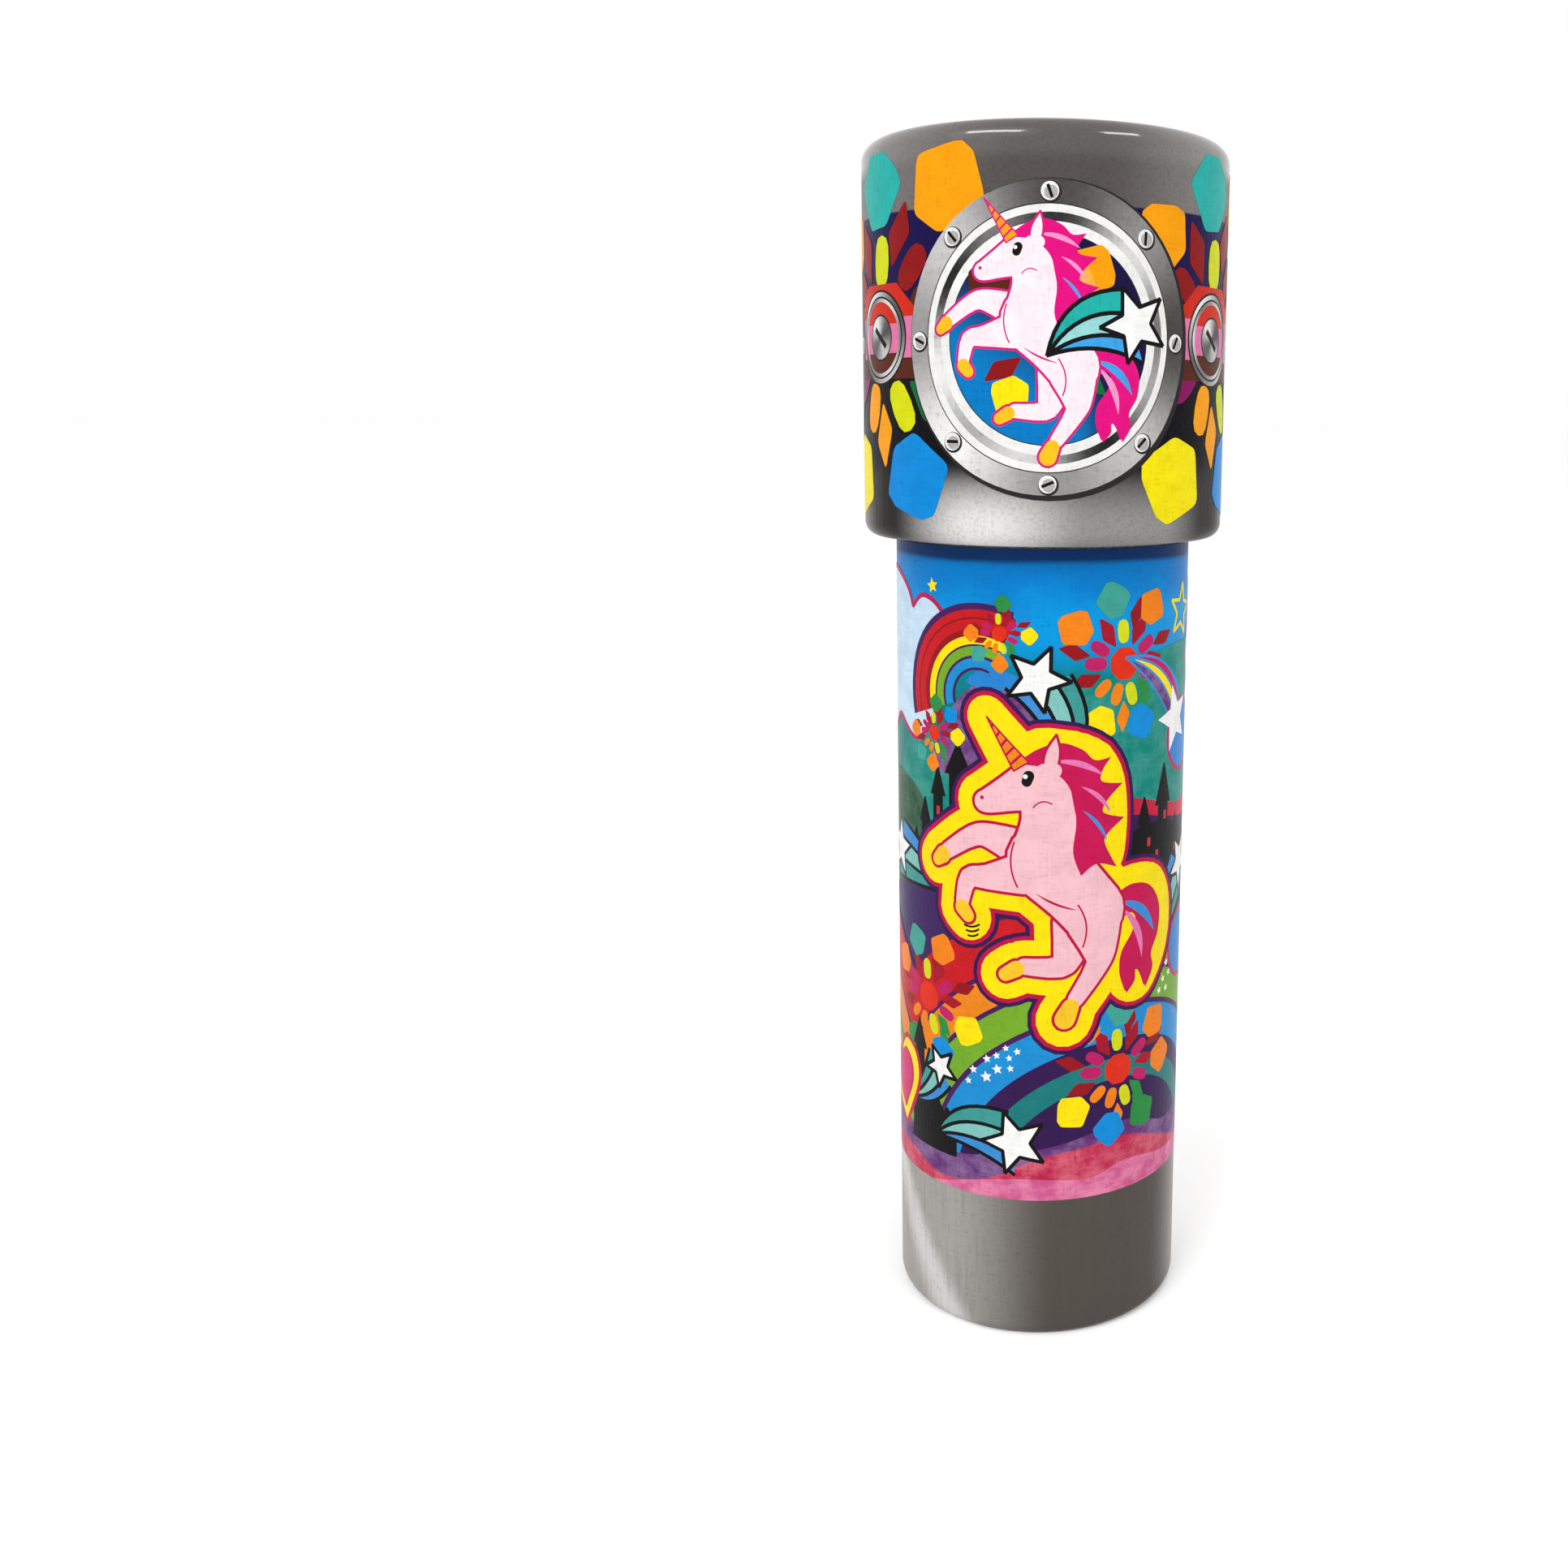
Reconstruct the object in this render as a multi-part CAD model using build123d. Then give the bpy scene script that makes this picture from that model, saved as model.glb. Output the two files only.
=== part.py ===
from build123d import *
import math
import os

os.makedirs("parts", exist_ok=True)

# A toy kaleidoscope made of card tubes, in millimetres. It stands on its eyepiece end at z = 0 and points
# up +Z. The wide cap turns on the narrow tube, and the front of both prints faces -Y.
# Inside the tube are the eye lens and a prism of three mirrors. Inside the cap are a shallow chamber
# of loose gems and beads, and a round window of coloured panes set back in the rolled mouth.

# ---- driving dimensions
total_length = 174.5
tube_outer_r = 22.0
tube_wall = 1.5
tube_print = 0.3
base_band_height = 22.0
cap_outer_r = 26.6
cap_length = 55.5
cap_wall = 1.5
cap_print = 0.4

# rolled rims: the printed paper turns over the end of the tube and curls back inside it
mouth_curl_r = 2.7
base_curl_r = 1.8
curl_paper = 0.9
curl_sweep = 240.0
base_flat_depth = 0.05

# clearances
slip_gap = 0.1
skirt_gap = 0.4
print_stop_gap = 0.5
bearing_gap = 0.3
end_play = 0.4
tape_gap = 0.01
loose_gap = 0.05
loose_side_gap = 1.1
loose_headroom = 0.3

# eyepiece
eye_hole_r = 5.0
eye_disc_thickness = 1.5
lens_r = 9.0
lens_thickness = 1.0
lens_gap = 0.1
lens_clamp_hole_r = 7.0
lens_clamp_thickness = 0.8

# mirror prism
mirror_thickness = 1.8
mirror_overhang = 1.6
mirror_joint_gap = 0.05
prism_corner_gap = 1.15
mirror_frame_thickness = 2.0
tape_thickness = 0.2
tape_width = 10.0
tape_count = 3
prism_window_thickness = 1.0
prism_ring_height = 1.5
prism_ring_width = 1.4

# bearing collars on the tube
lower_collar_height = 5.5
upper_collar_height = 3.5

# cap chamber and window
window_recess = 10.2
window_thickness = 1.0
film_thickness = 0.3
chamber_depth = 6.0
chamber_floor_thickness = 1.0
chamber_wall = 2.0
retainer_wall = 2.2
retainer_height = 4.1
liner_proud = 0.2
leading_rim = 2.8
leading_width = 2.2
pane_turn = 8.0

# loose pieces in the chamber
gem_width = 6.2
gem_height = 3.6
gem_table_share = 0.55
gem_girdle_height = 1.2
rod_length = 7.0
rod_r = 1.4
rod_chamfer = 0.4
bead_r = 2.0
bead_hole_r = 0.7
bead_height = 2.4
bead_round = 0.7
star_r = 3.9
star_waist_r = 1.8
star_thickness = 1.6

# ---- places worked out from them
tube_core_r = tube_outer_r - tube_print
tube_inner_r = tube_core_r - tube_wall
cap_core_r = cap_outer_r - cap_print
cap_inner_r = cap_core_r - cap_wall
tube_fit_r = tube_inner_r - slip_gap
cap_fit_r = cap_inner_r - slip_gap
skirt_curl_r = (cap_outer_r - tube_outer_r - skirt_gap) / 2
curl_end_drop = math.sin(math.radians(curl_sweep - 180))

# rolled rims
base_curl_z = base_curl_r - base_flat_depth
cap_bottom_z = total_length - cap_length
skirt_curl_z = cap_bottom_z + skirt_curl_r
mouth_curl_z = total_length - mouth_curl_r

# cap stack, from the mouth down
window_top_z = total_length - window_recess
window_z = window_top_z - window_thickness
film_z = window_z - film_thickness
chamber_z = film_z - chamber_depth
chamber_floor_z = chamber_z - chamber_floor_thickness
liner_top_z = mouth_curl_z - mouth_curl_r * curl_end_drop - slip_gap

# tube stack, from its two ends towards the mirrors
retainer_z = chamber_floor_z - retainer_height
tube_top_z = retainer_z - end_play
prism_ring_z = tube_top_z - prism_ring_height
prism_window_z = prism_ring_z - prism_window_thickness
lower_collar_z = cap_bottom_z + 2 * skirt_curl_r + bearing_gap
body_print_top_z = cap_bottom_z - print_stop_gap
eye_disc_z = base_curl_z + base_curl_r * curl_end_drop + slip_gap
lens_z = eye_disc_z + eye_disc_thickness
lens_clamp_z = lens_z + lens_thickness
mirror_z = lens_clamp_z + lens_clamp_thickness
mirror_length = prism_window_z - mirror_z
collar_r = cap_inner_r - bearing_gap

# the inner triangle of the prism, as large as the tube lets its outermost corners be
prism_corner_r = tube_inner_r - prism_corner_gap
corner_b = mirror_overhang + mirror_thickness / math.sqrt(3)
corner_c = mirror_overhang ** 2 + mirror_thickness ** 2 - prism_corner_r ** 2
prism_side = 1.5 * (math.sqrt(corner_b ** 2 - 4 / 3 * corner_c) - corner_b)
prism_inner_r = prism_side / (2 * math.sqrt(3))


# the rings on which the loose pieces lie, from the chamber's wall inwards
chamber_r = cap_fit_r - chamber_wall
gem_ring_r = chamber_r - loose_side_gap - gem_width / 2
rod_reach = gem_ring_r - gem_width / 2 - loose_side_gap
rod_ring_r = math.sqrt(rod_reach ** 2 - (rod_length / 2) ** 2) - rod_r
bead_ring_r = rod_ring_r - rod_r - loose_side_gap - bead_r


def ring(outer_r, inner_r, low_z, high_z):
    """A plain ring or disc between two heights; inner_r of 0 makes a disc."""
    section = Circle(outer_r)
    if inner_r > 0:
        section -= Circle(inner_r)
    return Pos(0, 0, low_z) * extrude(section, amount=high_z - low_z)


def half_section(r_low, r_high, z_low, z_high):
    """A rectangle in the radius and height plane."""
    width = r_high - r_low
    height = z_high - z_low
    return Pos((r_low + r_high) / 2, (z_low + z_high) / 2) * Rectangle(width, height)


def curl_section(centre_r, centre_z, curl_r, way):
    """The section of a rolled rim: it leaves the outer wall, turns over the end (way +1 up, -1 down)
    and curls back inside."""
    centre = (centre_r, centre_z)
    turn = way * curl_sweep
    outer = CenterArc(centre, curl_r, 0, turn)
    inner = CenterArc(centre, curl_r - curl_paper, 0, turn)
    edges = [outer, Line(outer @ 1, inner @ 1), inner, Line(inner @ 0, outer @ 0)]
    return make_face(Wire(edges).edges())


def spin(section):
    """Turns a radius and height section about the tube's axis."""
    return revolve(Plane.XZ * section, axis=Axis.Z, revolution_arc=360)


def around(count, start, radius):
    """Places spread evenly round the axis, each with its X pointing outwards."""
    return [Rot(0, 0, start + i * 360 / count) * Pos(radius, 0, 0) for i in range(count)]


# ---- the tube and its prints
def make_body_tube():
    return ring(tube_core_r, tube_inner_r, base_curl_z, tube_top_z)


def make_body_wrap():
    return ring(tube_outer_r, tube_core_r, base_band_height, body_print_top_z)


def make_base_band():
    """The grey band and its curl, with the small flat that standing wears on it."""
    wall = half_section(tube_core_r, tube_outer_r, base_curl_z, base_band_height)
    curl = curl_section(tube_outer_r - base_curl_r, base_curl_z, base_curl_r, -1)
    above_floor = half_section(0, tube_outer_r + 1, 0, base_band_height)
    return spin((wall + curl) & above_floor)


# ---- eyepiece
def make_eyepiece_disc():
    return ring(tube_fit_r, eye_hole_r, eye_disc_z, lens_z)


def make_eyepiece_lens():
    return ring(lens_r, 0, lens_z, lens_clamp_z)


def make_lens_seat_ring():
    return ring(tube_fit_r, lens_r + lens_gap, lens_z, lens_clamp_z)


def make_lens_clamp_ring():
    return ring(tube_fit_r, lens_clamp_hole_r, lens_clamp_z, mirror_z)


# ---- mirror prism
def mirror_strip_section():
    """One strip's end: it lies outside the inner triangle's lower side and overhangs one corner."""
    start = -prism_side / 2 + mirror_joint_gap
    end = prism_side / 2 + mirror_overhang
    middle = (start + end) / 2
    return Pos(middle, -prism_inner_r - mirror_thickness / 2) * Rectangle(end - start, mirror_thickness)


def make_mirror(turn):
    section = Rot(0, 0, turn) * mirror_strip_section()
    return Pos(0, 0, mirror_z) * extrude(section, amount=mirror_length)


def prism_outline(gap):
    """The outline round all three strips, a gap away from them."""
    edges = ShapeList()
    for turn in (0, 120, 240):
        edges += (Rot(0, 0, turn) * mirror_strip_section()).edges()
    return offset(make_hull(edges), amount=gap, kind=Kind.INTERSECTION)


def make_mirror_frame(low_z):
    section = Circle(tube_fit_r) - prism_outline(slip_gap)
    return Pos(0, 0, low_z) * extrude(section, amount=mirror_frame_thickness)


def make_tape_bands():
    """Strips of tape round the prism, spread along it."""
    section = prism_outline(tape_gap + tape_thickness) - prism_outline(tape_gap)
    band = extrude(section, amount=tape_width)
    pitch = mirror_length / (tape_count + 1)
    bands = [Pos(0, 0, mirror_z + pitch * (i + 1) - tape_width / 2) * band for i in range(tape_count)]
    return Compound(bands)


def make_prism_window():
    return ring(tube_fit_r, 0, prism_window_z, prism_ring_z)


def make_prism_window_ring():
    return ring(tube_fit_r, tube_fit_r - prism_ring_width, prism_ring_z, tube_top_z)


# ---- bearing collars
def make_lower_collar():
    return ring(collar_r, tube_core_r, lower_collar_z, lower_collar_z + lower_collar_height)


def make_upper_collar():
    return ring(collar_r, tube_core_r, tube_top_z - upper_collar_height, tube_top_z)


# ---- cap
def make_cap_tube():
    return ring(cap_core_r, cap_inner_r, skirt_curl_z, mouth_curl_z)


def make_cap_wrap():
    """The printed outside of the cap, with the curl at its skirt and the larger one at its mouth."""
    wall = half_section(cap_core_r, cap_outer_r, skirt_curl_z, mouth_curl_z)
    skirt = curl_section(cap_outer_r - skirt_curl_r, skirt_curl_z, skirt_curl_r, -1)
    mouth = curl_section(cap_outer_r - mouth_curl_r, mouth_curl_z, mouth_curl_r, 1)
    return spin(wall + skirt + mouth)


def make_mouth_liner():
    mouth_r = cap_outer_r - 2 * mouth_curl_r
    return ring(cap_fit_r, mouth_r - liner_proud, window_top_z, liner_top_z)


def make_window_disc():
    return ring(cap_fit_r, 0, window_z, window_top_z)


def make_chamber_spacer():
    return ring(cap_fit_r, chamber_r, chamber_z, film_z)


def make_chamber_inner_disc():
    return ring(cap_fit_r, 0, chamber_floor_z, chamber_z)


def make_chamber_retainer():
    return ring(cap_fit_r, cap_fit_r - retainer_wall, retainer_z, chamber_floor_z)


# ---- coloured panes: a square in the round window, crossed corner to corner
def leading_bars():
    """The bars of the window: the square's four sides and its two diagonals."""
    rim_r = cap_fit_r - leading_rim
    side_distance = (cap_fit_r - leading_rim / 2) / math.sqrt(2)
    bars = Sketch()
    for i in range(4):
        bars += Rot(0, 0, pane_turn + 90 * i) * Pos(side_distance, 0) * Rectangle(leading_width, 2 * rim_r)
    for turn in (45, 135):
        bars += Rot(0, 0, pane_turn + turn) * Rectangle(2 * cap_fit_r, leading_width)
    return bars


def make_panes():
    """The panes by place: four triangles round the middle and four segments outside the square."""
    sheet = Circle(cap_fit_r - leading_rim) - leading_bars()
    half_side = (cap_fit_r - leading_rim / 2) / math.sqrt(2)
    panes = {}
    for face in sheet.faces():
        if face.area < 1.0:
            continue
        centre = face.center(CenterOf.MASS)
        turn = math.degrees(math.atan2(centre.Y, centre.X)) - pane_turn
        place = ("right", "top", "left", "bottom")[round(turn / 90) % 4]
        zone = "outer" if centre.length > half_side else "inner"
        panes[zone, place] = Pos(0, 0, film_z) * extrude(face, amount=film_thickness)
    return panes


def make_window_leading():
    sheet = Circle(cap_fit_r)
    for face in (Circle(cap_fit_r - leading_rim) - leading_bars()).faces():
        if face.area >= 1.0:
            sheet -= face
    return Pos(0, 0, film_z) * extrude(sheet, amount=film_thickness)


# ---- loose pieces: flat-backed gems, glass rods, seed beads and one star
def cut_gem(outline):
    """A flat-backed gem: a straight girdle and a crown that slopes in to its table."""
    girdle = extrude(outline, amount=gem_girdle_height)
    crown_foot = Pos(0, 0, gem_girdle_height) * outline
    table = Pos(0, 0, gem_height) * scale(outline, by=gem_table_share)
    return girdle + loft([crown_foot.face(), table.face()])


def gem_outlines():
    half = gem_width / 2
    corner = gem_width * 0.18
    return {
        "gem_ruby": RegularPolygon(half, 6),
        "gem_topaz": chamfer(Rectangle(gem_width * 0.8, gem_width * 0.8).vertices(), corner),
        "gem_emerald": chamfer(Rectangle(gem_width * 0.66, gem_width * 0.92).vertices(), corner),
        "gem_sapphire": RegularPolygon(half, 8),
    }


def make_gems():
    floor = Pos(0, 0, chamber_z + loose_gap)
    outlines = gem_outlines()
    places = around(len(outlines), 40, gem_ring_r)
    return {name: floor * place * cut_gem(outlines[name]) for name, place in zip(outlines, places)}


def make_rods():
    rod = chamfer(Cylinder(rod_r, rod_length).edges(), rod_chamfer)
    lying = Rot(90, 0, 0) * rod
    floor = Pos(0, 0, chamber_z + loose_gap + rod_r)
    names = ("rod_pink", "rod_turquoise")
    places = around(len(names), 10, rod_ring_r)
    return {name: floor * place * lying for name, place in zip(names, places)}


def make_beads():
    bead = Cylinder(bead_r, bead_height)
    bead = fillet(bead.edges().filter_by(GeomType.CIRCLE), bead_round)
    bead -= Cylinder(bead_hole_r, bead_height + 1)
    floor = Pos(0, 0, chamber_z + loose_gap + bead_height / 2)
    names = ("bead_orange", "bead_violet")
    places = around(len(names), 75, bead_ring_r)
    return {name: floor * place * bead for name, place in zip(names, places)}


def make_star():
    corners = []
    for i in range(10):
        reach = star_r if i % 2 == 0 else star_waist_r
        turn = math.radians(90 + 36 * i)
        corners.append((reach * math.cos(turn), reach * math.sin(turn)))
    outline = make_face(Polyline(*corners, close=True).edges())
    return Pos(0, 0, chamber_z + loose_gap) * extrude(outline, amount=star_thickness)


# ---- the whole assembly
panes = make_panes()

nodes = {
    "body_tube": make_body_tube(),
    "body_wrap": make_body_wrap(),
    "base_band": make_base_band(),
    "eyepiece_disc": make_eyepiece_disc(),
    "eyepiece_lens": make_eyepiece_lens(),
    "lens_seat_ring": make_lens_seat_ring(),
    "lens_clamp_ring": make_lens_clamp_ring(),
    "mirror_floor": make_mirror(0),
    "mirror_right": make_mirror(120),
    "mirror_left": make_mirror(240),
    "mirror_frame_lower": make_mirror_frame(mirror_z),
    "mirror_frame_upper": make_mirror_frame(prism_window_z - mirror_frame_thickness),
    "mirror_tape_bands": make_tape_bands(),
    "prism_window": make_prism_window(),
    "prism_window_ring": make_prism_window_ring(),
    "lower_collar": make_lower_collar(),
    "upper_collar": make_upper_collar(),
    "cap_tube": make_cap_tube(),
    "cap_wrap": make_cap_wrap(),
    "mouth_liner": make_mouth_liner(),
    "window_disc": make_window_disc(),
    "window_leading": make_window_leading(),
    "window_film_yellow": Compound([panes["inner", "left"], panes["outer", "right"], panes["outer", "top"]]),
    "window_film_blue": Compound([panes["inner", "top"], panes["inner", "bottom"], panes["outer", "left"]]),
    "window_film_red": Compound([panes["inner", "right"], panes["outer", "bottom"]]),
    "chamber_spacer": make_chamber_spacer(),
    "chamber_inner_disc": make_chamber_inner_disc(),
    "chamber_retainer": make_chamber_retainer(),
}
nodes.update(make_gems())
nodes.update(make_rods())
nodes.update(make_beads())
nodes["star_white"] = make_star()

for name, shape in nodes.items():
    export_step(shape, f"parts/{name}.step")

print("nodes", len(nodes))
print("prism side", round(prism_side, 2), "mirror length", round(mirror_length, 2))
print("skirt curl radius", round(skirt_curl_r, 2), "tube top", round(tube_top_z, 2))
print("bead lift", round(chamber_depth - bead_height - loose_gap - loose_headroom, 2))
print("star lift", round(chamber_depth - star_thickness - loose_gap - loose_headroom, 2))
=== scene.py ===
import math

import bmesh
import bpy
from mathutils import Matrix, Vector
from mathutils.geometry import delaunay_2d_cdt


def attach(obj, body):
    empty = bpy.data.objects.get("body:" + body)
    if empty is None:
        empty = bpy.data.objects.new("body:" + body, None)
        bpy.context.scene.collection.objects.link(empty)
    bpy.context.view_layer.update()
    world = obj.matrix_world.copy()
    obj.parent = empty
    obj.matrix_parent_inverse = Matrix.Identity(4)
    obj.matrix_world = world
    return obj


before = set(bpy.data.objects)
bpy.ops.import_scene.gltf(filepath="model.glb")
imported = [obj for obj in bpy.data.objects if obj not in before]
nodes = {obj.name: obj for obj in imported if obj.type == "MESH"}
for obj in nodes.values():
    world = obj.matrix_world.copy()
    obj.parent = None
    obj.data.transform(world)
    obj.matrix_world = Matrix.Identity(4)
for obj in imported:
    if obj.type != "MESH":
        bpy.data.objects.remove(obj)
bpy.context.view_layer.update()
MM = 0.001


# ==== Camera
# Level with the upper third of the kaleidoscope, tipped down a little, with the toy right of the middle.
eye = bpy.data.cameras.new("eye")
eye.lens = 35.42
eye.sensor_width = 36.0
eye.shift_x = -0.1641
eye.shift_y = -0.0571
camera = bpy.data.objects.new("camera", eye)
camera.location = (0.0, -233.9 * MM, 136.15 * MM)
tip_down = 0.177
lean = 0.008
tipped = Matrix.Rotation(math.pi / 2 - tip_down, 3, "X") @ Matrix.Rotation(lean, 3, "Z")
camera.rotation_euler = tipped.to_euler()
bpy.context.scene.collection.objects.link(camera)
bpy.context.scene.camera = camera


# ==== Card cores
# The two wound card tubes, and the collars and frames cut from the same grey-brown card. They are glued
# up one in the other and hardly show; the fibre is matt and a little mottled.
PAPER_WHITE = 0.70


def linear(colour):
    """An ink's red, green and blue, from 0 to 255 as on a colour chart, as shares of the light it returns."""
    shares = [c / 255 for c in colour]
    return tuple(PAPER_WHITE * (s / 12.92 if s <= 0.04045 else ((s + 0.055) / 1.055) ** 2.4) for s in shares)


class Value:
    """One output in a finish. Arithmetic on it adds Math nodes."""

    def __init__(self, finish, socket):
        self.finish = finish
        self.socket = socket

    def math(self, operation, *others):
        return self.finish.node("ShaderNodeMath", {"operation": operation}, [self, *others])

    def __add__(self, other):
        return self.math("ADD", other)

    def __radd__(self, other):
        return self.math("ADD", other)

    def __sub__(self, other):
        return self.math("SUBTRACT", other)

    def __rsub__(self, other):
        return self.finish.node("ShaderNodeMath", {"operation": "SUBTRACT"}, [other, self])

    def __mul__(self, other):
        return self.math("MULTIPLY", other)

    def __rmul__(self, other):
        return self.math("MULTIPLY", other)


class Finish:
    """A material and the nodes that feed it."""

    def __init__(self, name, **steady):
        self.material = bpy.data.materials.new(name)
        self.material.use_nodes = True
        self.tree = self.material.node_tree
        self.shader = self.tree.nodes["Principled BSDF"]
        for socket, value in steady.items():
            self.shader.inputs[socket.replace("_", " ")].default_value = value

    def plug(self, value, socket):
        if isinstance(value, Value):
            self.tree.links.new(value.socket, socket)
        elif isinstance(value, tuple) and len(value) == 3 and socket.type == "RGBA":
            socket.default_value = (*value, 1.0)
        else:
            socket.default_value = value

    def node(self, kind, settings=None, inputs=(), output=0):
        made = self.tree.nodes.new(kind)
        for key, value in (settings or {}).items():
            setattr(made, key, value)
        pairs = inputs.items() if isinstance(inputs, dict) else enumerate(inputs)
        for key, value in pairs:
            self.plug(value, made.inputs[key])
        return Value(self, made.outputs[output])

    def feed(self, socket, value):
        self.plug(value, self.shader.inputs[socket])

    def place(self):
        return self.node("ShaderNodeTexCoord", output="Object")

    def parts(self, place):
        """The three parts of a place, each as a value of its own."""
        split = self.node("ShaderNodeSeparateXYZ", inputs=[place])
        return [Value(self, out) for out in split.socket.node.outputs]

    def stretched(self, x, y, z):
        """The place on the piece, times a scale for each direction."""
        return self.node("ShaderNodeVectorMath", {"operation": "MULTIPLY"}, [self.place(), (x, y, z)])

    def noise(self, place, detail=2.0, roughness=0.5):
        inputs = {"Vector": place, "Scale": 1.0, "Detail": detail, "Roughness": roughness}
        return self.node("ShaderNodeTexNoise", inputs=inputs)

    def step(self, value, low, high, to_low=0.0, to_high=1.0):
        """A smooth rise from to_low to to_high as value goes from low to high."""
        inputs = [value, low, high, to_low, to_high]
        return self.node("ShaderNodeMapRange", {"interpolation_type": "SMOOTHSTEP"}, inputs)

    def mix(self, first, second, share):
        settings = {"data_type": "RGBA", "clamp_factor": True}
        return self.node("ShaderNodeMix", settings, {0: share, 6: first, 7: second}, output=2)

    def bump(self, height, depth):
        self.feed("Normal", self.node("ShaderNodeBump", inputs={"Height": height, "Distance": depth}))

    def dress(self, *names):
        for name in names:
            slots = nodes[name].data.materials
            slots.clear()
            slots.append(self.material)


card = Finish("wound_card", Roughness=0.85)
fibre = card.noise(card.stretched(900, 900, 2200), 4.0)
card_colour = card.mix(linear((116, 104, 88)), linear((164, 151, 132)), card.step(fibre, 0.35, 0.65))
card.feed("Base Color", card_colour)
card.bump(fibre, 0.08 * MM)
card.dress("body_tube", "cap_tube", "lower_collar", "upper_collar", "mirror_frame_lower",
           "mirror_frame_upper")


# ==== Grey foot band
# The lowest 22 mm of the tube's label, printed in grey as a brushed metal shine: light on the left with
# one bright slanting streak. Its paper rolls under at the eyepiece end. Like all the label paper it lies
# under a gloss film, which is embossed like fine linen.
TUBE_R = 22.0
TUBE_REPEATS = 2
EMBOSS_DEPTH = 0.09 * MM


def laminate(name):
    return Finish(name, Roughness=0.33, Specular_IOR_Level=0.04, Coat_Weight=0.04, Coat_Roughness=0.1)


def linen(finish):
    """How high the film's woven threads stand, about 0 to 1. They are a third of a millimetre apart."""
    across = finish.noise(finish.stretched(2600, 2600, 420), 1.5)
    up = finish.noise(finish.stretched(420, 420, 2600), 1.5)
    return (across + up) * 0.5


def around_tube(finish, radius, repeats, middle=0.0):
    """Millimetres round the tube from the middle of one repeat of the print, and millimetres up."""
    x, y, z = finish.parts(finish.place())
    across = x.math("ARCTAN2", y * -1.0) * radius - middle
    half = math.pi * radius / repeats
    return across.math("WRAP", half, -half), z * 1000.0


def shade(colour, by):
    return tuple(min(1.0, c * by) for c in colour)


foot = laminate("foot_band_print")
foot_threads = linen(foot)
foot.bump(foot_threads, EMBOSS_DEPTH)
foot_across, foot_up = around_tube(foot, TUBE_R, TUBE_REPEATS)
foot_light = 1.0 - foot.step(foot_across, -15.0, 3.0) + foot.step(foot_across, 20.0, 34.0)
foot_base = foot.mix(linear((84, 78, 73)), linear((164, 161, 156)), foot_light)
foot_slant = foot_across + foot_up * 0.72
foot_streak = foot.step(foot_slant, -20.0, -13.2) - foot.step(foot_slant, -12.6, -8.0)
foot_base = foot.mix(foot_base, linear((226, 225, 222)), foot_streak * 0.7)
foot_brush = foot.noise(foot.stretched(1500, 1500, 90), 3.0)
brush_dark = shade(linear((120, 114, 108)), 0.6)
foot_base = foot.mix(brush_dark, foot_base, foot.step(foot_brush, 0.18, 0.55, 0.72, 1.0))
# Painted shade: the colour is darkened in the low threads of the film's linen emboss.
foot_weave_shade = foot.step(foot_threads, 0.28, 0.50, 0.75, 1.0)
foot.feed("Base Color", foot.mix(linear((70, 66, 62)), foot_base, foot_weave_shade))
foot.dress("base_band")


# ==== Tube label, ground colours
# Behind the motifs the tube's label runs from pink and purple washes at the foot, through a dark hill,
# to green-blue and a strong sky blue under the cap, where a thin dark band is the cap's painted shadow.
sky = laminate("tube_label_ground")
sky_threads = linen(sky)
sky.bump(sky_threads, EMBOSS_DEPTH)
sky_across, sky_up = around_tube(sky, TUBE_R, TUBE_REPEATS)
wash = sky.noise(sky.stretched(120, 120, 160), 4.0, 0.6)
sky_edge = sky_up + (wash - 0.5) * 9.0
sky_colour = sky.mix(linear((206, 92, 146)), linear((190, 34, 84)), sky.step(wash, 0.44, 0.52))
SKY_BANDS = [((92, 46, 118), 27.0, 31.0), ((60, 34, 92), 34.0, 60.0), ((0, 122, 118), 79.0, 86.0),
             ((0, 150, 220), 98.0, 106.0), ((0, 122, 200), 108.0, 115.0)]
for band, low, high in SKY_BANDS:
    sky_colour = sky.mix(sky_colour, linear(band), sky.step(sky_edge, low, high))
# Painted shadow: the cap's shadow as a thin dark navy band on the sky just under the cap.
sky_colour = sky.mix(sky_colour, linear((8, 52, 108)), sky.step(sky_up + wash * 0.6, 116.4, 117.4))
# Painted shade: the colour is darkened towards deep blue in the low threads of the film's linen emboss.
sky_weave_shade = shade(linear((0, 70, 120)), 0.8)
sky.feed("Base Color", sky.mix(sky_weave_shade, sky_colour, sky.step(sky_threads, 0.22, 0.5, 0.7, 1.0)))
sky.dress("body_wrap")


# ==== Tube label, motifs
# Printed in flat inks on the ground colours: a road in bands over the hills, castles, a rainbow, flowers
# of cut stones, shooting stars and a rearing unicorn on a yellow ground. The label has it twice round.
def arc(u, z, radius, start, end, steps):
    """Points along part of a circle, from one angle to another, in degrees."""
    turns = [math.radians(start + (end - start) * i / steps) for i in range(steps + 1)]
    return [(u + radius * math.cos(t), z + radius * math.sin(t)) for t in turns]


def disc(u, z, radius, steps=28):
    return arc(u, z, radius, 0, 360, steps)[:-1]


def between(p0, p1, p2, p3, t):
    """A place on the flowing curve from p1 to p2, a share t of the way."""
    return tuple(0.5 * (2 * b + (c - a) * t + (2 * a - 5 * b + 4 * c - d) * t * t
                        + (3 * b - a - 3 * c + d) * t ** 3)
                 for a, b, c, d in zip(p0, p1, p2, p3))


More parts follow.
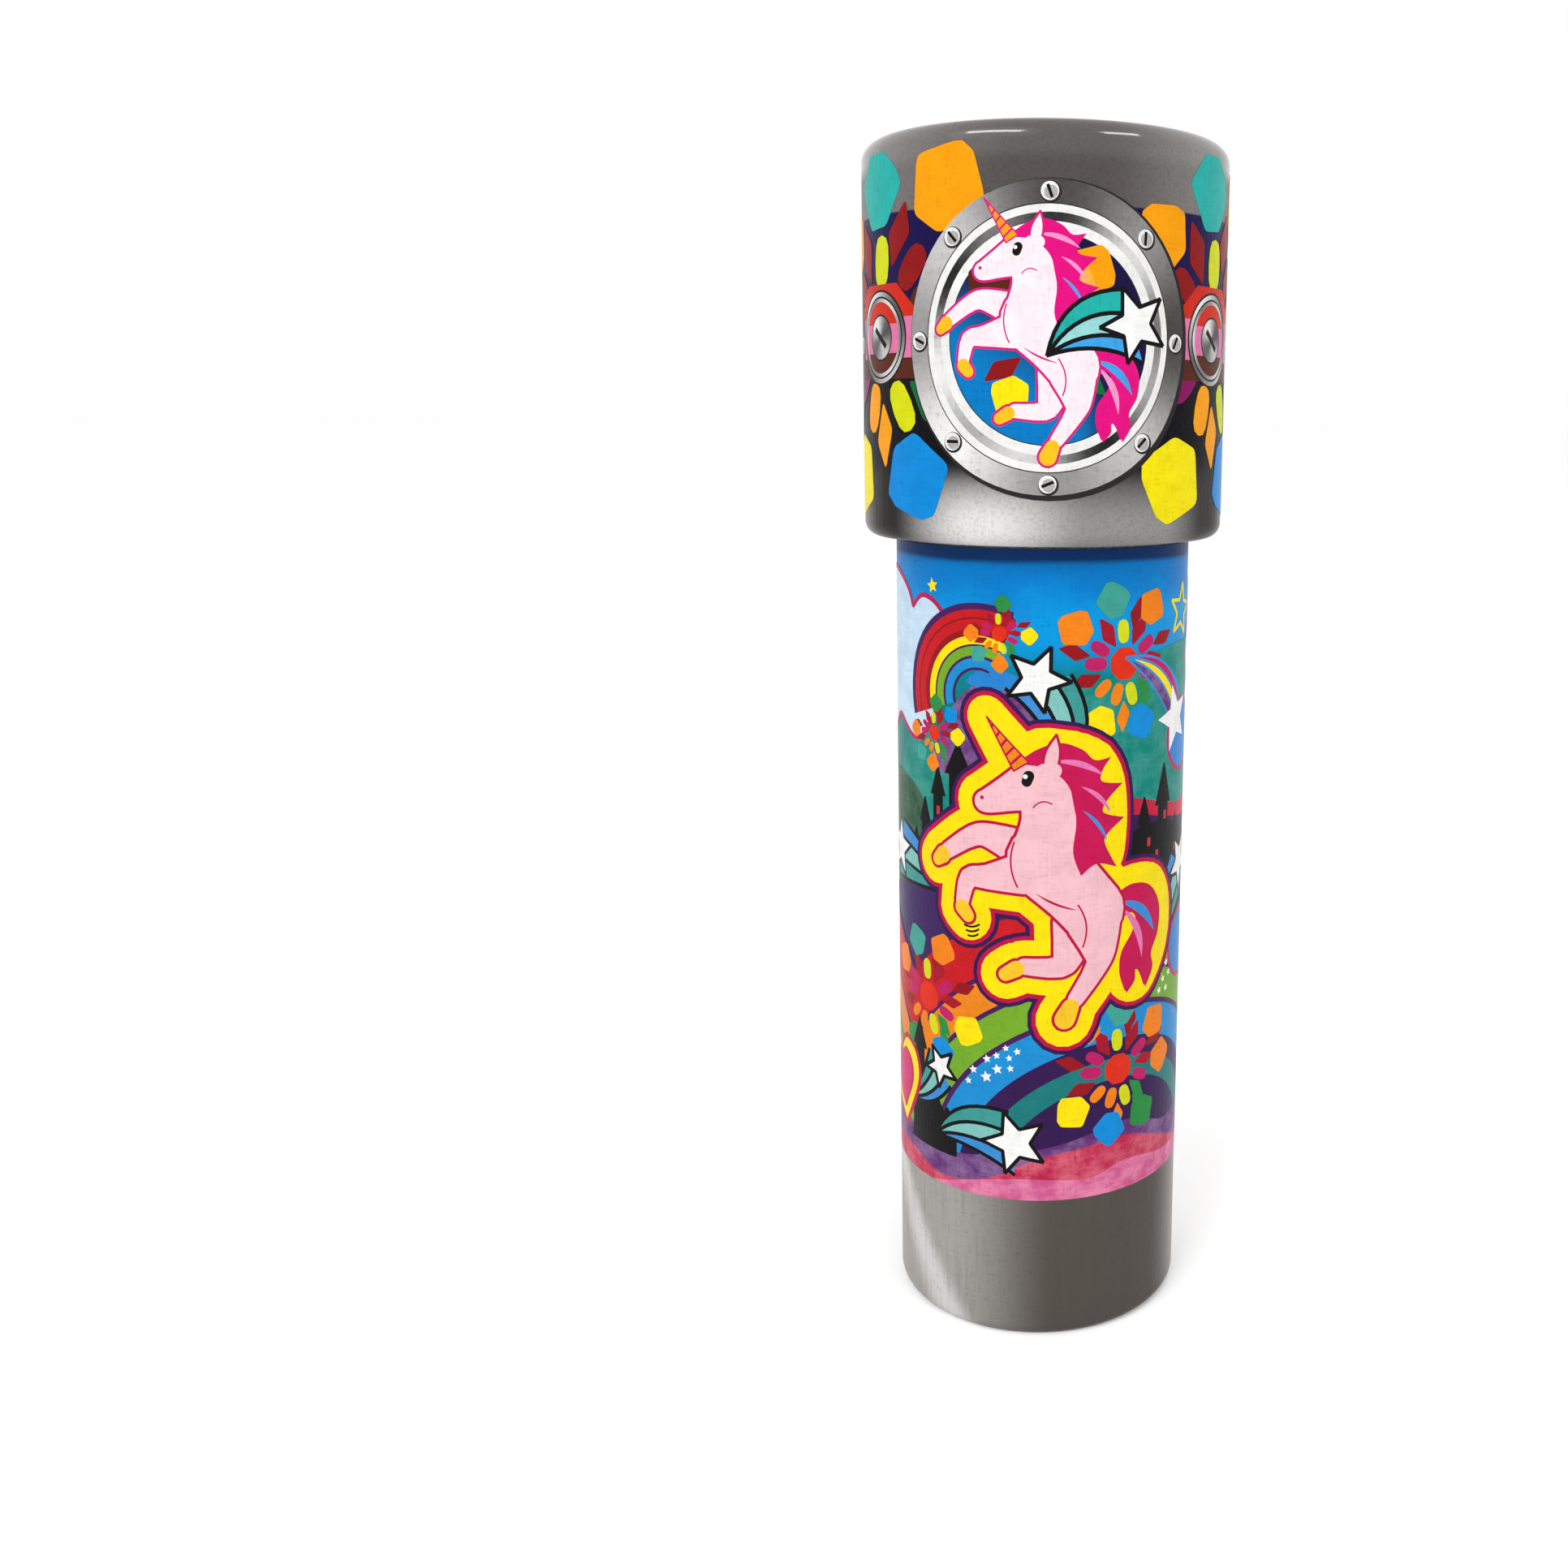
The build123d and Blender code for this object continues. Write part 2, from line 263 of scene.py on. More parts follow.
def hull_of_two(first, second):
    """The outline of two circles and the straight stretches that join them."""
    u1, z1, r1 = first
    u2, z2, r2 = second
    apart = math.hypot(u2 - u1, z2 - z1)
    if apart <= abs(r1 - r2) + 1e-6:
        return disc(*(first if r1 > r2 else second), 20)
    way = math.degrees(math.atan2(z2 - z1, u2 - u1))
    touch = math.degrees(math.acos((r1 - r2) / apart))
    return arc(u1, z1, r1, way + touch, way + 360 - touch, 9) + arc(u2, z2, r2, way - touch, way + touch, 9)


class MotifSheet:
    """A sheet of motifs, drawn flat in millimetres round and up the tube, one ink over another.

    Where shapes overlap only the top ink is kept, so each ink is one thin film beside its neighbours.
    """

    FILM_LOW = 0.006
    FILM_HIGH = 0.046
    COLUMNS = 180
    MARGIN = 60.0
    AREAS_WITHOUT_HOLES = 4

    def __init__(self, radius, repeats, low, high):
        self.radius = radius
        self.repeats = repeats
        self.tile = 2 * math.pi * radius / repeats
        self.low = low
        self.high = high
        self.shapes = []

    def add(self, ink, points):
        area = sum(a[0] * b[1] - b[0] * a[1] for a, b in zip(points, points[1:] + points[:1]))
        if abs(area) > 0.002:
            self.shapes.append((ink, points if area > 0 else points[::-1]))

    def line(self, ink, points, width, closed=False):
        """A stroke of even width through the points, whose pieces lap a little at each joint."""
        half = width / 2
        lap = 0.35
        ends = points[1:] + (points[:1] if closed else [])
        for (u1, z1), (u2, z2) in zip(points, ends):
            length = math.hypot(u2 - u1, z2 - z1)
            if length < 0.02:
                continue
            du, dz = half * (u2 - u1) / length, half * (z2 - z1) / length
            a, b = (u1 - du * lap, z1 - dz * lap), (u2 + du * lap, z2 + dz * lap)
            self.add(ink, [(a[0] + dz, a[1] - du), (b[0] + dz, b[1] - du), (b[0] - dz, b[1] + du),
                           (a[0] - dz, a[1] + du)])

    def outlined(self, ink, line_ink, points, width):
        self.add(ink, points)
        self.line(line_ink, points, width, closed=True)

    def limb(self, ink, circles, grow=0.0):
        """A rounded shape that flows through a chain of circles: (across, up, radius)."""
        ends = [circles[0], *circles, circles[-1]]
        flow = []
        for p0, p1, p2, p3 in zip(ends, ends[1:], ends[2:], ends[3:]):
            flow += [between(p0, p1, p2, p3, k / 3) for k in range(3)]
        flow.append(circles[-1])
        for (u1, z1, r1), (u2, z2, r2) in zip(flow, flow[1:]):
            self.add(ink, hull_of_two((u1, z1, r1 + grow), (u2, z2, r2 + grow)))

    def cut(self):
        """Cuts the flat sheet into areas with one ink each, also at every column of the tube."""
        half = self.tile / 2
        points, faces, inks, edges = [], [], [], []
        for ink, shape in self.shapes:
            for shift in (-self.tile, 0.0, self.tile):
                moved = [(u + shift, z) for u, z in shape]
                across = [u for u, z in moved]
                if max(across) > -half and min(across) < half:
                    faces.append(list(range(len(points), len(points) + len(moved))))
                    points += moved
                    inks.append(ink)
        columns = self.COLUMNS // self.repeats
        for i in range(columns + 1):
            u = -half + self.tile * i / columns
            edges.append((len(points), len(points) + 1))
            points += [(u, self.low - self.MARGIN), (u, self.high + self.MARGIN)]
        for z in (self.low, self.high):
            edges.append((len(points), len(points) + 1))
            points += [(-half - self.MARGIN, z), (half + self.MARGIN, z)]
        cut = delaunay_2d_cdt([Vector(p) for p in points], edges, faces, self.AREAS_WITHOUT_HOLES, 1e-3)
        spots, areas, sources = cut[0], cut[2], cut[5]
        sheet = bmesh.new()
        corners = [sheet.verts.new((p.x, p.y, 0.0)) for p in spots]
        names = sorted(set(inks))
        for area, source in zip(areas, sources):
            u = sum(spots[i].x for i in area) / len(area)
            z = sum(spots[i].y for i in area) / len(area)
            if source and abs(u) < half and self.low < z < self.high:
                sheet.faces.new([corners[i] for i in area]).material_index = names.index(inks[max(source)])
        step = self.tile / columns
        for edge in sheet.edges:
            across = [(v.co.x + half) / step for v in edge.verts]
            edge.seam = all(abs(a - round(across[0])) < 0.002 for a in across)
        sheet.normal_update()
        bmesh.ops.dissolve_limit(sheet, angle_limit=math.radians(2.0), verts=sheet.verts, edges=sheet.edges,
                                 delimit={"MATERIAL", "SEAM"})
        for face in sheet.faces:
            yield names[face.material_index], [(v.co.x, v.co.y) for v in face.verts]
        sheet.free()

    def lay(self, body, prefix, finishes):
        """Makes one thin closed film for each ink, wrapped on the tube."""
        areas_of = {}
        for ink, area in self.cut():
            areas_of.setdefault(ink, []).append(area)
        for ink, areas in areas_of.items():
            film = self.film(f"{prefix}_{ink}", areas)
            film.data.materials.append(finishes[ink])
            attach(film, body)

    def film(self, name, areas):
        around = 2 * math.pi * self.radius
        index, spots, faces = {}, [], []
        for repeat in range(self.repeats):
            for area in areas:
                face = []
                for u, z in area:
                    u = (u + repeat * self.tile) % around
                    key = (round(u, 3) % round(around, 3), round(z, 3))
                    if key not in index:
                        index[key] = len(spots)
                        spots.append((u, z))
                    if not face or index[key] != face[-1]:
                        face.append(index[key])
                if len(set(face)) == len(face) > 2:
                    faces.append(face)
        count = len(spots)
        points, outward = [], []
        for high in (self.FILM_HIGH, self.FILM_LOW):
            reach = (self.radius + high) * MM
            for u, z in spots:
                turn = u / self.radius - math.pi / 2
                outward.append(Vector((math.cos(turn), math.sin(turn), 0.0)))
                points.append((reach * math.cos(turn), reach * math.sin(turn), z * MM))
        sides = {(a, b) for face in faces for a, b in zip(face, face[1:] + face[:1])}
        walls = [[b, a, a + count, b + count] for a, b in sorted(sides) if (b, a) not in sides]
        under = [[i + count for i in reversed(face)] for face in faces]
        mesh = bpy.data.meshes.new(name)
        mesh.from_pydata(points, [], faces + under + walls)
        mesh.update()
        normals = []
        for polygon in mesh.polygons:
            wall_normal = polygon.normal.copy()
            for corner in polygon.vertices:
                if polygon.index < len(faces):
                    normals.append(outward[corner])
                elif polygon.index < 2 * len(faces):
                    normals.append(-outward[corner])
                else:
                    normals.append(wall_normal)
        mesh.shade_smooth()
        mesh.normals_split_custom_set(normals)
        film = bpy.data.objects.new(name, mesh)
        bpy.context.scene.collection.objects.link(film)
        return film


def smooth(points, steps=5):
    """A closed curve through the points. A point with a third value is a sharp corner."""
    curve = []
    count = len(points)
    for i in range(count):
        p1, p2 = points[i], points[(i + 1) % count]
        p0 = p1 if len(p1) > 2 else points[i - 1]
        p3 = p2 if len(p2) > 2 else points[(i + 2) % count]
        curve += [between(p0[:2], p1[:2], p2[:2], p3[:2], k / steps) for k in range(steps)]
    return curve


tube_sheet = MotifSheet(TUBE_R, TUBE_REPEATS, 22.02, 118.5)

tube_sheet.add("teal_hill", smooth([(2, 96), (12, 101), (24, 104), (35, 101), (36, 80), (20, 78), (2, 80)]))
tube_sheet.add("teal_hill", smooth([(-27, 84), (-22, 91), (-12, 90), (-4, 86), (-6, 72), (-27, 70)]))
tube_sheet.add("ridge_red", smooth([(4, 84), (14, 82.5), (24, 80), (35, 78), (36, 66), (4, 66)]))
tube_sheet.add("deep_purple", smooth([(4, 81.5), (14, 80), (26, 77.5), (36, 75), (36, 62), (4, 60)]))
tube_sheet.add("hill_green", smooth([(-36, 80), (-30, 84), (-22, 83), (-18, 78), (-19, 70), (-36, 66)]))

cloud = [(-37, 91.4), (-39.2, 94.6), (-37.8, 98.2, 1), (-39.6, 101.6), (-38.2, 105.6), (-35.8, 106.4, 1),
         (-36.6, 110.6), (-33, 114.2), (-28, 114), (-24, 112), (-22.2, 109.3, 1), (-19.4, 111.2),
         (-15.6, 109.4), (-13.5, 104), (-16, 96), (-21, 90), (-27, 92.6), (-29.6, 91.6, 1), (-33, 89.8)]
tube_sheet.add("wash_purple", smooth([(-16, 86), (-14.5, 94), (-9, 99.6), (-3, 98.4), (2, 95), (4, 86)]))
tube_sheet.add("pond_blue", smooth([(-11, 99.4), (-8, 101.6), (-4, 101), (-2, 99), (-5, 98.6)]))
tube_sheet.outlined("cloud", "magenta_line", smooth(cloud), 0.7)
tube_sheet.outlined("pond_blue", "magenta_line", disc(27.5, 90.0, 5.4), 0.7)

# The road runs in bands round a point low on the right.
ROAD = [(48.3, "purple_line"), (47.5, "red"), (41.0, "purple_line"), (40.3, "orange"), (36.0, "purple_line"),
        (35.3, "green"), (30.8, "purple_line"), (30.0, "blue"), (25.2, "deep_purple"), (22.3, "teal_dark"),
        (19.0, "deep_purple")]
for reach, ink in ROAD:
    tube_sheet.add(ink, arc(12.0, 21.0, reach, 0, 180, 48))

WASHES = {
    "wash_purple": [(-36, 26), (-28, 31), (-20, 27.6), (-10, 28.2), (2, 30.5), (14, 33), (24, 30), (36, 31),
                    (37, 20), (-37, 20)],
    "wash_red": [(-36, 22), (-34, 25), (-24, 25.5), (-16, 23.5), (-8, 24.8), (0, 28.6), (7, 30), (14, 30.6),
                 (22, 28), (30, 25), (36, 26), (37, 19), (-37, 19)],
    "wash_pink": [(-36, 21), (-20, 21.6), (-10, 24.2), (-2, 25.4), (8, 25), (14, 26.6), (24, 25), (36, 24),
                  (37, 18), (-37, 18)],
}
for ink, edge in WASHES.items():
    tube_sheet.add(ink, smooth(edge))


def tower(sheet, u, foot_z, width, height, roof):
    """A dark castle tower with a pointed roof."""
    half = width / 2
    brim = half * 1.55
    top = foot_z + height
    sheet.add("black", [(u - half, foot_z), (u + half, foot_z), (u + half, top), (u - half, top)])
    eaves = top - 0.2
    sheet.add("black", [(u - brim, eaves), (u + brim, eaves), (u + 0.15, top + roof), (u - 0.15, top + roof)])


for tower_sizes in ((-12.5, 72, 3.2, 14, 4.6), (-16.3, 72, 2.0, 10.5, 4.2), (-19.2, 70, 1.8, 8, 3.6),
                    (-8.9, 72, 2.4, 9, 3.4), (-21.6, 70, 2.0, 3.6, 3.0)):
    tower(tube_sheet, *tower_sizes)
tube_sheet.add("black", [(-20, 68), (-7, 68), (-7, 79), (-20, 77)])
for tower_sizes in ((21.2, 68, 2.8, 12.6, 6.0), (16.6, 68, 1.9, 10.4, 3.8), (11.8, 66, 2.2, 5.6, 3.6),
                    (25.4, 66, 2.4, 8.2, 4.0), (29.2, 66, 2.2, 7.4, 3.4)):
    tower(tube_sheet, *tower_sizes)
tube_sheet.add("black", smooth([(10, 62), (11, 70.5), (14, 77), (20, 78), (27, 76), (31, 72), (31, 62)]))
for u, sill in ((-16.6, 79.4), (-12.7, 82.6), (-12.0, 77.6), (17.4, 74.6), (19.4, 72.4), (21.4, 78.0),
                (25.2, 72.2)):
    tube_sheet.add("window_glow", [(u, sill), (u + 0.7, sill), (u + 0.7, sill + 1.3), (u, sill + 1.3)])


def strip(u, z, inner, outer, start, end, steps=24):
    """Part of a ring, as in a rainbow."""
    return arc(u, z, outer, start, end, steps) + arc(u, z, inner, end, start, steps)


RAINBOW = [(13.2, 12.3, "purple_line"), (12.3, 11.2, "red"), (11.2, 10.9, "dark_red"), (10.9, 9.5, "red"),
           (9.5, 8.6, "dark_red"), (8.6, 7.4, "yellow"), (7.4, 7.1, "purple_line"), (7.1, 5.8, "green"),
           (5.8, 5.4, "purple_line"), (5.4, 4.1, "blue"), (4.1, 3.7, "purple_line")]
for outer, inner, ink in RAINBOW:
    tube_sheet.add(ink, strip(-9.3, 97.6, inner, outer, 62, 198))


def placed(points, u, z, size=1.0, turn=0.0):
    """Points of a small drawing, turned, scaled and moved on to the sheet."""
    c, s = math.cos(math.radians(turn)) * size, math.sin(math.radians(turn)) * size
    return [(u + p[0] * c - p[1] * s, z + p[0] * s + p[1] * c) for p in points]


def rounded(points, reach=0.28, steps=3):
    """Straight sides with rounded corners."""
    curve = []
    for i, corner in enumerate(points):
        a, b = [tuple(c + (n - c) * reach for c, n in zip(corner, near))
                for near in (points[i - 1], points[(i + 1) % len(points)])]
        for t in (k / steps for k in range(steps + 1)):
            curve.append(tuple((1 - t) ** 2 * p + 2 * t * (1 - t) * q + t * t * r
                               for p, q, r in zip(a, corner, b)))
    return curve


STONE = [(-0.20, -0.46), (0.22, -0.44), (0.55, 0.0), (0.46, 0.20), (0.10, 0.50), (-0.10, 0.52), (-0.52, 0.08)]
LOZENGE = [(-0.30, -0.10), (0.0, -0.62), (0.30, 0.10), (0.0, 0.62)]
ROD = [(-0.28, -0.5), (0.28, -0.5), (0.28, 0.5), (-0.28, 0.5)]


def gems_round(sheet, u, z, places):
    """Flat cut stones set round a point. Each is (ink, outline, angle from the top, distance, size)."""
    for ink, outline, angle, distance, size in places:
        turn = math.radians(90 - angle)
        spot = (u + distance * math.cos(turn), z + distance * math.sin(turn))
        sheet.add(ink, rounded(placed(outline, *spot, size, -angle), 0.45 if outline is ROD else 0.16))


def stone_flower(sheet, u, z, size, stones):
    """A mosaic flower: an eight-sided heart, lozenges and rods round it, and larger cut stones outside."""
    ring = [("lime", ROD, -4, 4.6, 3.4), ("crimson", LOZENGE, 28, 5.3, 4.2),
            ("gem_magenta", ROD, 58, 4.6, 3.4), ("crimson", LOZENGE, 86, 5.2, 3.8),
            ("gem_magenta", ROD, 114, 4.6, 3.2),
            ("gem_green", LOZENGE, 138, 5.4, 3.8), ("lime", ROD, 164, 4.6, 3.4),
            ("gem_orange", ROD, 196, 4.5, 3.2), ("gem_orange", LOZENGE, 181, 7.6, 3.8),
            ("gem_orange", ROD, 226, 4.8, 3.0), ("dark_red", LOZENGE, 250, 6.4, 4.0),
            ("gem_magenta", ROD, 272, 4.6, 3.4), ("gem_magenta", ROD, 300, 4.6, 3.2),
            ("crimson", LOZENGE, 328, 5.3, 4.2), ("dark_red", LOZENGE, 68, 8.2, 4.0),
            ("dark_red", LOZENGE, 284, 8.0, 4.0), ("dark_red", LOZENGE, 16, 7.4, 4.0),
            ("gem_green", LOZENGE, 150, 7.6, 3.6)]
    gems_round(sheet, u, z, [(ink, cut, angle, size * far, size * big) for ink, cut, angle, far, big in ring])
    gems_round(sheet, u, z, [(ink, STONE, angle, size * 9.2, size * 5.4) for ink, angle in stones])
    sheet.add("gem_red", rounded(arc(u, z, 2.5 * size, 22.5, 382.5, 8)[:-1], 0.15))


stone_flower(tube_sheet, -6.0, 106.6, 0.46, [("gem_green", 6), ("gem_blue", 48), ("yellow", 92),
                                             ("gem_orange", 268), ("gem_teal", 226), ("gem_orange", 178)])
stone_flower(tube_sheet, -17.0, 91.4, 0.48, [("gem_green", 4), ("gem_blue", 46), ("yellow", 90),
                                             ("gem_orange", 270), ("gem_teal", 222), ("gem_orange", 184)])
stone_flower(tube_sheet, 12.4, 102.2, 1.0, [("gem_orange", 304), ("gem_teal", 347), ("gem_orange", 33),
                                            ("yellow", 204), ("gem_blue", 159)])
stone_flower(tube_sheet, -18.6, 51.0, 0.92, [("gem_teal", 338), ("gem_orange", 20), ("gem_orange", 296),
                                             ("yellow", 114), ("gem_blue", 160), ("gem_green", 206)])
stone_flower(tube_sheet, 12.5, 41.4, 1.0, [("gem_teal", 2), ("gem_orange", 52), ("gem_orange", 322),
                                           ("yellow", 232), ("gem_blue", 188), ("gem_green", 148),
                                           ("gem_orange", 92)])


def bow(start, end, bulge, steps=10):
    """A curve from start to end that bows out to its left by bulge."""
    mid_u = (start[0] + end[0]) / 2 - (end[1] - start[1]) * bulge
    mid_z = (start[1] + end[1]) / 2 + (end[0] - start[0]) * bulge
    shares = [i / steps for i in range(steps + 1)]
    return [((1 - t) ** 2 * start[0] + 2 * t * (1 - t) * mid_u + t * t * end[0],
             (1 - t) ** 2 * start[1] + 2 * t * (1 - t) * mid_z + t * t * end[1]) for t in shares]


def star(u, z, radius, turn=0.0, waist=0.45):
    tips = arc(u, z, radius, 90 + turn, 450 + turn, 5)
    notches = arc(u, z, radius * waist, 126 + turn, 486 + turn, 5)
    return [spot for pair in zip(tips[:-1], notches) for spot in pair]


TEAL_TAIL = ("teal", "light_teal", "comet_blue")
BLUE_TAIL = TEAL_TAIL[::-1]


def comet(sheet, middle, radius, tip, bulge, tail):
    """A white star with three curved streaks that run together at the tip."""
    away = math.atan2(tip[1] - middle[1], tip[0] - middle[0])
    sides = []
    for share in (0.98, 0.42, -0.30, -0.95):
        root = (middle[0] - math.sin(away) * radius * share + math.cos(away) * radius * 0.1,
                middle[1] + math.cos(away) * radius * share + math.sin(away) * radius * 0.1)
        sides.append(bow(root, tip, bulge + 0.10 * share))
    for ink, first, second in zip(tail, sides, sides[1:]):
        sheet.add(ink, first + second[-2::-1])
    for side in sides:
        sheet.line("black", side, 0.56)
    sheet.outlined("white", "black", star(*middle, radius, math.degrees(away) * 0.3), 0.56)


comet(tube_sheet, (-28.2, 72.0), 5.0, (-13.6, 68.0), 0.10, BLUE_TAIL)
comet(tube_sheet, (28.4, 70.0), 5.0, (20.5, 57.0), -0.16, TEAL_TAIL)
comet(tube_sheet, (-0.6, 100.4), 4.9, (2.6, 86.0), 0.32, TEAL_TAIL)
for tower_sizes in ((-21.0, 27.5, 2.6, 15.0, 4.4), (-17.8, 27.5, 3.0, 10.0, 3.0),
                    (-14.6, 27.5, 2.6, 4.4, 2.6)):
    tower(tube_sheet, *tower_sizes)
tube_sheet.add("black", [(-23.6, 27.0), (-12.8, 27.0), (-12.8, 31.0), (-14.6, 32.4), (-16.4, 35.6),
                         (-22.0, 36.4)])
comet(tube_sheet, (-16.0, 40.6), 3.4, (-23.4, 33.6), 0.20, BLUE_TAIL)
comet(tube_sheet, (-3.4, 31.0), 5.1, (-17.0, 29.6), -0.30, BLUE_TAIL)
for u, z, reach in ((-10.7, 39.8, 0.6), (-9.9, 41.7, 0.7), (-7.8, 40.9, 0.95), (-6.1, 42.3, 0.85),
                    (-7.7, 43.7, 0.7), (-6.2, 44.4, 0.6), (-4.3, 44.2, 0.55), (-4.1, 42.6, 0.6),
                    (-4.8, 45.7, 0.55), (-3.1, 45.3, 0.6)):
    tube_sheet.add("white", star(u, z, reach, 12))
for u, z in ((21.4, 54.2), (23.2, 55.2), (22.3, 52.9), (24.2, 53.4), (21.2, 51.4), (23.3, 51.2)):
    tube_sheet.add("white", star(u, z, 0.65, 8))
tube_sheet.outlined("pond_blue", "magenta_line", disc(29.4, 57.0, 5.4), 0.7)
tube_sheet.add("yellow", star(-17.3, 112.7, 1.15, 10))
tube_sheet.line("yellow", star(26.2, 108.6, 4.0, -8), 0.5, closed=True)

RIBBON = [("comet_blue", 2.0, 0.16), ("gem_magenta", 1.2, 0.24), ("yellow", -0.2, 0.18),
          ("wash_purple", -1.6, 0.10)]
for ink, shift, bulge in RIBBON:
    outer_edge = bow((12.6, 103.0), (25.0 + shift * 0.5, 95.0 + shift), bulge + 0.09)
    inner_edge = bow((12.6, 103.0), (24.4 + shift * 0.5, 93.2 + shift), bulge - 0.02)
    tube_sheet.outlined(ink, "comet_blue", outer_edge + inner_edge[-2:0:-1], 0.35)
tube_sheet.add("white", star(24.6, 92.8, 5.2, 14))

heart = [(0.0, -4.4, 1), (3.6, -0.6), (3.9, 2.2), (2.2, 3.6), (0.5, 2.9), (0.0, 2.0, 1), (-0.5, 2.9),
         (-2.2, 3.6), (-3.9, 2.2), (-3.6, -0.6)]
tube_sheet.outlined("yellow", "crimson_line", placed(smooth(heart), -27.6, 35.4, 1.75, 14), 0.8)
tube_sheet.outlined("magenta", "crimson_line", placed(smooth(heart), -27.6, 35.4, 1.15, 14), 0.5)


def unicorn(sheet, u, z, size, edge, halo=()):
    """A plain rearing unicorn that faces left, built from rounded limbs."""
    def spot(points):
        return placed(points, u, z, size)

    def grown(ink, chains, grow):
        for chain in chains:
            sheet.limb(ink, [(u + size * x, z + size * y, size * r) for x, y, r in chain], grow)

    def crescent(ink, start, end, bend, under=0.25):
        sheet.add(ink, spot(bow(start, end, bend) + bow(start, end, bend * under)[-2:0:-1]))

    head = [(-3.2, 11.0, 2.9), (-5.6, 10.1, 2.05), (-8.2, 9.0, 1.35), (-8.9, 8.8, 1.15)]
    neck = [(-2.4, 10.4, 2.7), (-1.9, 6.9, 2.9), (-2.0, 3.4, 3.8)]
    trunk = [(-2.3, 2.6, 4.1), (0.8, -0.6, 3.6), (3.3, -3.4, 3.5)]
    fore_far = [(-4.0, 3.6, 2.2), (-8.0, 5.0, 1.4), (-10.2, 4.9, 1.1), (-13.6, 2.7, 0.85)]
    fore_near = [(-4.4, 1.2, 2.3), (-8.4, 0.5, 1.35), (-10.8, 0.1, 1.05), (-11.6, -2.6, 0.8)]
    hind_near = [(3.2, -3.8, 3.3), (3.9, -7.4, 2.0), (3.6, -9.4, 1.3), (1.2, -13.0, 0.9)]
    hind_far = [(1.4, -4.0, 2.8), (0.5, -7.4, 1.8), (-0.5, -9.2, 1.2), (-4.4, -9.2, 0.9)]
    far_hooves = [[(-14.2, 2.2, 0.95), (-15.1, 1.5, 0.7)], [(-5.3, -9.5, 0.9), (-6.5, -10.2, 0.75)]]
    near_hooves = [[(-11.6, -3.3, 0.9), (-10.9, -4.1, 0.75)], [(0.6, -13.9, 0.95), (0.0, -15.2, 1.15)]]
    far_limbs = [fore_far, hind_far]
    near_limbs = [head, neck, trunk, fore_near, hind_near]
    soft_tail = [(6.0, -3.0, 2.0), (9.5, -3.6, 2.8), (9.9, -7.0, 2.9), (8.6, -10.4, 2.0)]
    soft_mane = [(-2.5, 13.0, 2.0), (1.6, 11.6, 2.4), (2.6, 7.6, 2.4), (2.8, 3.6, 2.0)]
    soft_horn = [(-5.0, 13.0, 0.9), (-8.7, 18.0, 0.2)]
    # The cutter's faces depend on the order in which shapes are added, so the hooves keep this one.
    whole = [soft_tail, soft_mane, soft_horn, *far_limbs, *near_limbs,
             far_hooves[0], *near_hooves, far_hooves[1]]
    for ink, grow in halo:
        grown(ink, whole, grow)

    tail = [(5.2, -2.4), (7.6, -0.9), (10.4, -1.5), (12.2, -4.0), (12.1, -7.0), (10.9, -9.2), (11.2, -11.0),
            (10.0, -13.0, 1), (9.2, -11.2), (8.4, -10.6), (8.3, -11.8), (7.2, -13.0, 1), (6.4, -10.8),
            (6.6, -8.4), (8.0, -6.4), (8.5, -4.8), (7.6, -4.0), (5.9, -4.4)]
    sheet.add(edge, spot(smooth([(x * 1.02 + 0.1, y * 1.02, *k) for x, y, *k in tail])))
    sheet.add("mane", spot(smooth(tail)))
    crescent("comet_blue", (6.2, -2.6), (11.6, -7.0), 0.42)
    crescent("mane_pink", (6.6, -3.4), (9.6, -9.6), 0.36)

    rim = 0.34 * size
    for limbs, hooves in ((far_limbs, far_hooves), (near_limbs, near_hooves)):
        grown(edge, [*limbs, *hooves], rim)
        grown("coat", limbs, 0.0)
        grown("hoof", hooves, 0.0)
    sheet.line(edge, spot(bow((-5.6, 4.6), (-5.2, -0.4), -0.22)), 0.2 * size)
    sheet.line(edge, spot(bow((1.3, -2.4), (1.9, -7.2), 0.28)), 0.2 * size)
    belly = bow((-3.4, -0.9), (1.4, -3.0), -0.16) + bow((1.4, -3.0), (-3.4, -0.9), 0.06)[1:-1]
    sheet.add(edge, spot(belly))
    sheet.line(edge, spot(bow((-1.6, 8.8), (-3.6, 8.4), -0.45)), 0.16 * size)

    locks = [(-4.9, 13.2), (-3.4, 14.6), (-0.8, 15.4), (1.6, 14.6), (3.0, 13.4), (4.9, 13.6, 1), (3.9, 12.2),
             (3.9, 11.0), (6.4, 10.6, 1), (4.6, 9.0), (4.1, 7.6), (6.7, 6.8, 1), (4.8, 5.4), (4.3, 4.2),
             (5.8, 1.4, 1), (3.4, 2.0), (1.6, 0.8, 1), (0.7, 3.4), (1.0, 6.6), (0.6, 9.6), (-0.6, 11.6),
             (-2.8, 12.8)]
    sheet.add("mane", spot(smooth(locks)))
    crescent("mane_pink", (-1.6, 13.4), (4.1, 11.6), 0.30)
    crescent("mane_pink", (1.5, 10.6), (5.0, 7.4), 0.30)
    crescent("comet_blue", (1.7, 8.0), (4.6, 4.4), 0.24)
    ear = [(-2.5, 12.9), (-2.3, 14.6), (-1.2, 16.3, 1), (-0.8, 14.6), (-1.1, 12.9)]
    sheet.outlined("coat", edge, spot(smooth(ear)), 0.3 * size)
    grown("coat", [[(-2.4, 12.2, 1.0), (-1.4, 12.4, 0.8)]], 0.0)
    sheet.outlined("orange", edge, spot([(-5.7, 12.3), (-4.1, 13.3), (-8.7, 18.0)]), 0.2 * size)
    for i in range(5):
        low = 0.12 + 0.17 * i
